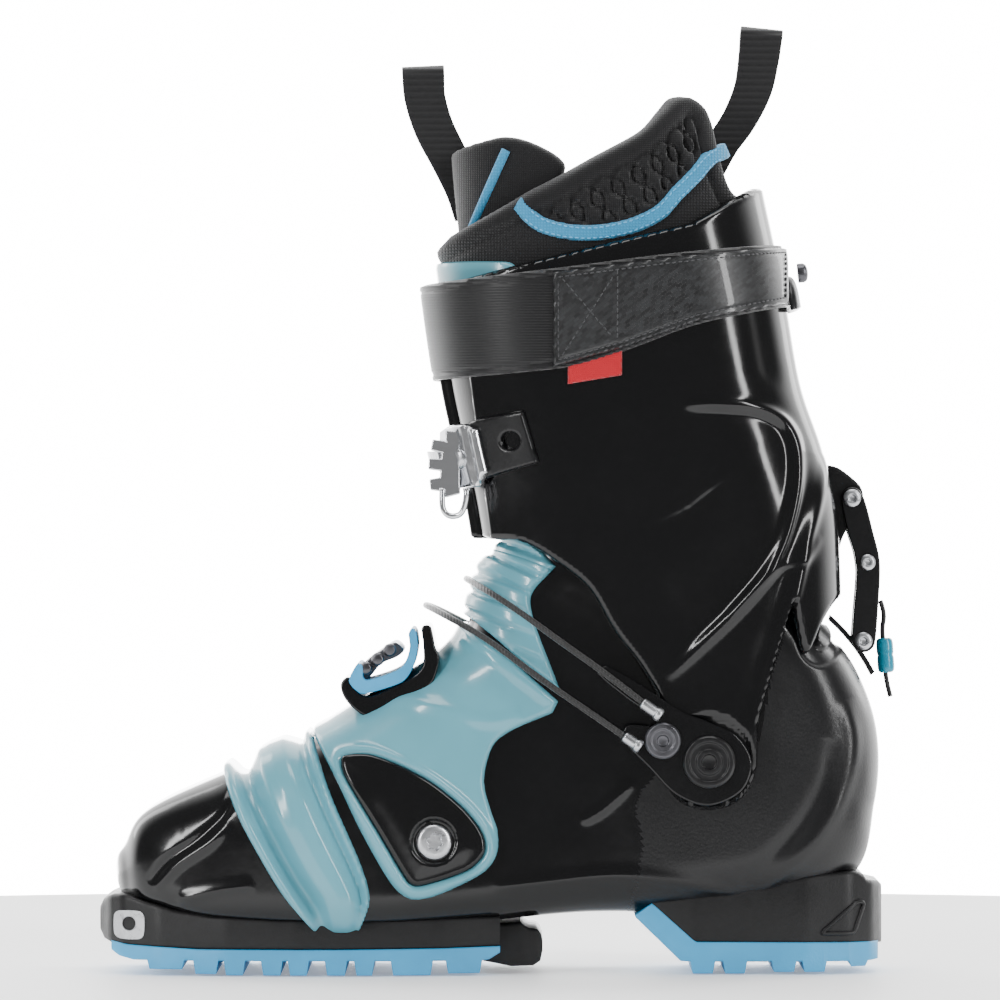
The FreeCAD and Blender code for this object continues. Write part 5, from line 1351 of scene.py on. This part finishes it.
panel("cuff_lever_skin", CUFF, (2.1, 3.9, 0.0, 0.5), 0.7,
      smooth_closed([(13.0, 198.0), (58.0, 191.0), (70.5, 186.0), (73.5, 180), (71.0, 174.0), (56.0, 174.5),
                     (13.0, 178.0)], 1.2, sharp=(0, 6)),
      7.4, 3.9, "chrome", "cuff_lever", ["cuff_buckle_lever"], side=1, edge=1.1,
      extra=lambda p, d: -1.2 * step01(d, 3.0, 4.5))


# ------------------------------------------------------------------ ski and walk lock
BRACKET = smooth_closed([(116, 186.0), (122.0, 186.0), (126.0, 184.5), (133.0, 178.5), (134.2, 173.5),
                         (132.0, 168.5), (127.0, 160.2), (123.2, 150), (118, 150)], 1.4,
                        sharp=(0, 8))
prism("lock_bracket_skin", BRACKET, -4.1, 4.1, "matte", "cuff", ["lock_bracket"], bevel=0.9)
ARM = smooth_closed([(126.0, 173.0), (127.6, 177.2), (131.6, 177.6), (134.4, 173.8), (137.6, 162.0),
                     (140.2, 150.3), (139.6, 134.0), (138.3, 120.0),
                     (135.6, 117.2), (132.0, 117.6), (130.0, 120.8), (130.4, 130.0), (131.6, 146.3),
                     (130.6, 154.0), (128.4, 161.0)], 1.2)
for side, label in SIDES:
    low, high = (-7.1, -4.6) if side < 0 else (4.6, 7.1)
    prism(f"lock_plate_{label}", ARM, low, high, "satin", "lock", ["lock_arm"], bevel=0.6)
    for k, (spot, r) in enumerate((((129.9, 173.9), 3.3), ((135.6, 150.2), 3.0), ((134.1, 121.2), 3.3))):
        lathe(f"lock_pin_{label}_{k}", (spot[0], side * 7.0, spot[1]), (0, side, 0),
              [(0, 0), (r, 0), (r, 0.9), (r * 0.75, 1.5), (r * 0.42, 1.6), (r * 0.34, 0.8), (0, 0.8)],
              "steel", "lock", turns=32)
lathe("lock_axle", (129.5, -4.7, 173.9), (0, 1, 0), rod(2.0, 9.4), "steel", "lock", turns=24)
lathe("lock_spacer", (135.4, -4.7, 150.2), (0, 1, 0), rod(2.6, 9.4), "dark_steel", "lock", turns=24)

bead_axis = Vector((0.8, 0, -12.8))
lathe("cord_bead_skin", (142.1, 0, 122.2), bead_axis,
      [(0.95, 0), (2.2, 0), (2.9, 0.7), (3.15, 2.0), (3.15, 5.4), (2.85, 6.4), (3.15, 7.4), (3.15, 10.8),
       (2.9, 12.1), (2.2, 12.8), (0.95, 12.8)],
      "teal", "lock", ["cord_bead"], turns=32)
CORD = [(140.6, 0, 136.0), (142.4, 0, 131.5), (141.2, 0.6, 125.5), (142.0, 0, 119.5), (142.6, -0.5, 113.0),
        (142.6, 0, 107.0),
        (144.4, 0, 100.5)]
cord_curve = round_curve("release_cord_line", CORD, 0.9, 5, 3, 12)
cord = link("release_cord_line", cord_curve)
cord_curve.materials.append(MATS["cable"])
finish_piece(cord, "lock", ["release_cord"])


# ------------------------------------------------------------------ room
def floor():
    """Pale disc, with a little light of its own so that its edge is soft against the backdrop."""
    radius, sink = 0.6, 0.0004
    pale, tree, shader = material("floor_pale", (0.9, 0.9, 0.9), 0.6, spec=0.1)
    shader.inputs["Emission Color"].default_value = (1, 1, 1, 1)
    shader.inputs["Emission Strength"].default_value = 0.3
    tree.links.new(ramp(tree, noise(tree, 6.0, 3.0), grey(0.9), grey(0.92)), shader.inputs["Base Color"])
    mesh = bpy.data.meshes.new("floor")
    rim = [(radius * math.cos(a), radius * math.sin(a), 0) for a in np.linspace(0, 2 * math.pi, 129)[:-1]]
    mesh.from_pydata(rim, [], [tuple(range(len(rim)))])
    disc = link("floor", mesh)
    disc.location.z = -sink
    mesh.materials.append(pale)


def fade(tree, source, where, strength):
    """Strength that eases from its first to its second value between two places of the source."""
    n = tree.nodes.new("ShaderNodeMapRange")
    n.interpolation_type = "SMOOTHSTEP"
    n.inputs["From Min"].default_value, n.inputs["From Max"].default_value = where
    n.inputs["To Min"].default_value, n.inputs["To Max"].default_value = strength
    tree.links.new(source, n.inputs["Value"])
    return n.outputs["Result"]


def backdrop():
    """World that is dim in front, for dark reflections, and bright white behind the boot."""
    world = bpy.data.worlds.new("studio")
    world.use_nodes = True
    tree = world.node_tree
    place = tree.nodes.new("ShaderNodeTexCoord")
    split = tree.nodes.new("ShaderNodeSeparateXYZ")
    tree.links.new(place.outputs["Generated"], split.inputs[0])
    wide_glow = fade(tree, split.outputs["Y"], (0.0, 0.75), (0.28, 4.2))
    near_glow = fade(tree, split.outputs["Y"], (0.93, 0.985), (0.0, 12.0))
    both = combine(tree, "ADD", wide_glow, near_glow)
    tree.links.new(both.outputs[0], tree.nodes["Background"].inputs["Strength"])
    tree.nodes["Background"].inputs["Color"].default_value = (1, 1, 1, 1)
    bpy.context.scene.world = world


def lamps():
    """Soft boxes: name, place, aim, width, height and power."""
    for name, place, aim, width, height, power in (
            ("key_left", (-1.3, -1.5, 0.9), (0, 0, 0.2), 0.22, 1.6, 30),
            ("key_right", (1.5, -1.2, 0.8), (0, 0, 0.2), 0.22, 1.6, 26),
            ("top", (0.0, -0.2, 1.9), (0, 0, 0.1), 1.2, 0.7, 16),
            ("back_left", (-1.3, 1.2, 1.1), (0, 0, 0.2), 0.5, 1.5, 12),
            ("back_right", (1.3, 1.3, 1.1), (0, 0, 0.2), 0.5, 1.5, 12)):
        data = bpy.data.lights.new(name, "AREA")
        data.shape, data.size, data.size_y, data.energy = "RECTANGLE", width, height, power
        lamp = link(name, data)
        lamp.location = place
        lamp.rotation_euler = (Vector(aim) - Vector(place)).to_track_quat("-Z", "Y").to_euler()


def side_camera():
    """Long lens, square on to the medial side."""
    data = bpy.data.cameras.new("camera")
    data.lens, data.sensor_width = 292, 36
    camera = link("camera", data)
    camera.location = (0.002, -3.0, 0.1732)
    camera.rotation_euler = (math.radians(90), 0, 0)
    bpy.context.scene.camera = camera


for build in (floor, backdrop, lamps, side_camera):
    build()

# CAD parts that are shown as they are, with the finishes of the visible ones.
FINISH = {
    "shell_black": "shell", "frame_black": "matte", "cover_aqua": "aqua", "sole_blue": "blue",
    "steel": "steel",
    "chrome": "chrome", "liner_foam": "mesh", "webbing_black": "webbing", "strap_black": "strap",
    "patch_grey": "patch", "tag_red": "red", "channel_blue": "blue", "bead_teal": "teal",
    "cord_black": "cable"}
for name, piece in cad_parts.items():
    for place in piece.material_slots:
        if name in ("lock_catch", "ankle_pivot_bolts"):
            place.material = MATS["matte"]
            continue
        for key, finish in FINISH.items():
            if place.material and key in place.material.name:
                place.material = MATS[finish]
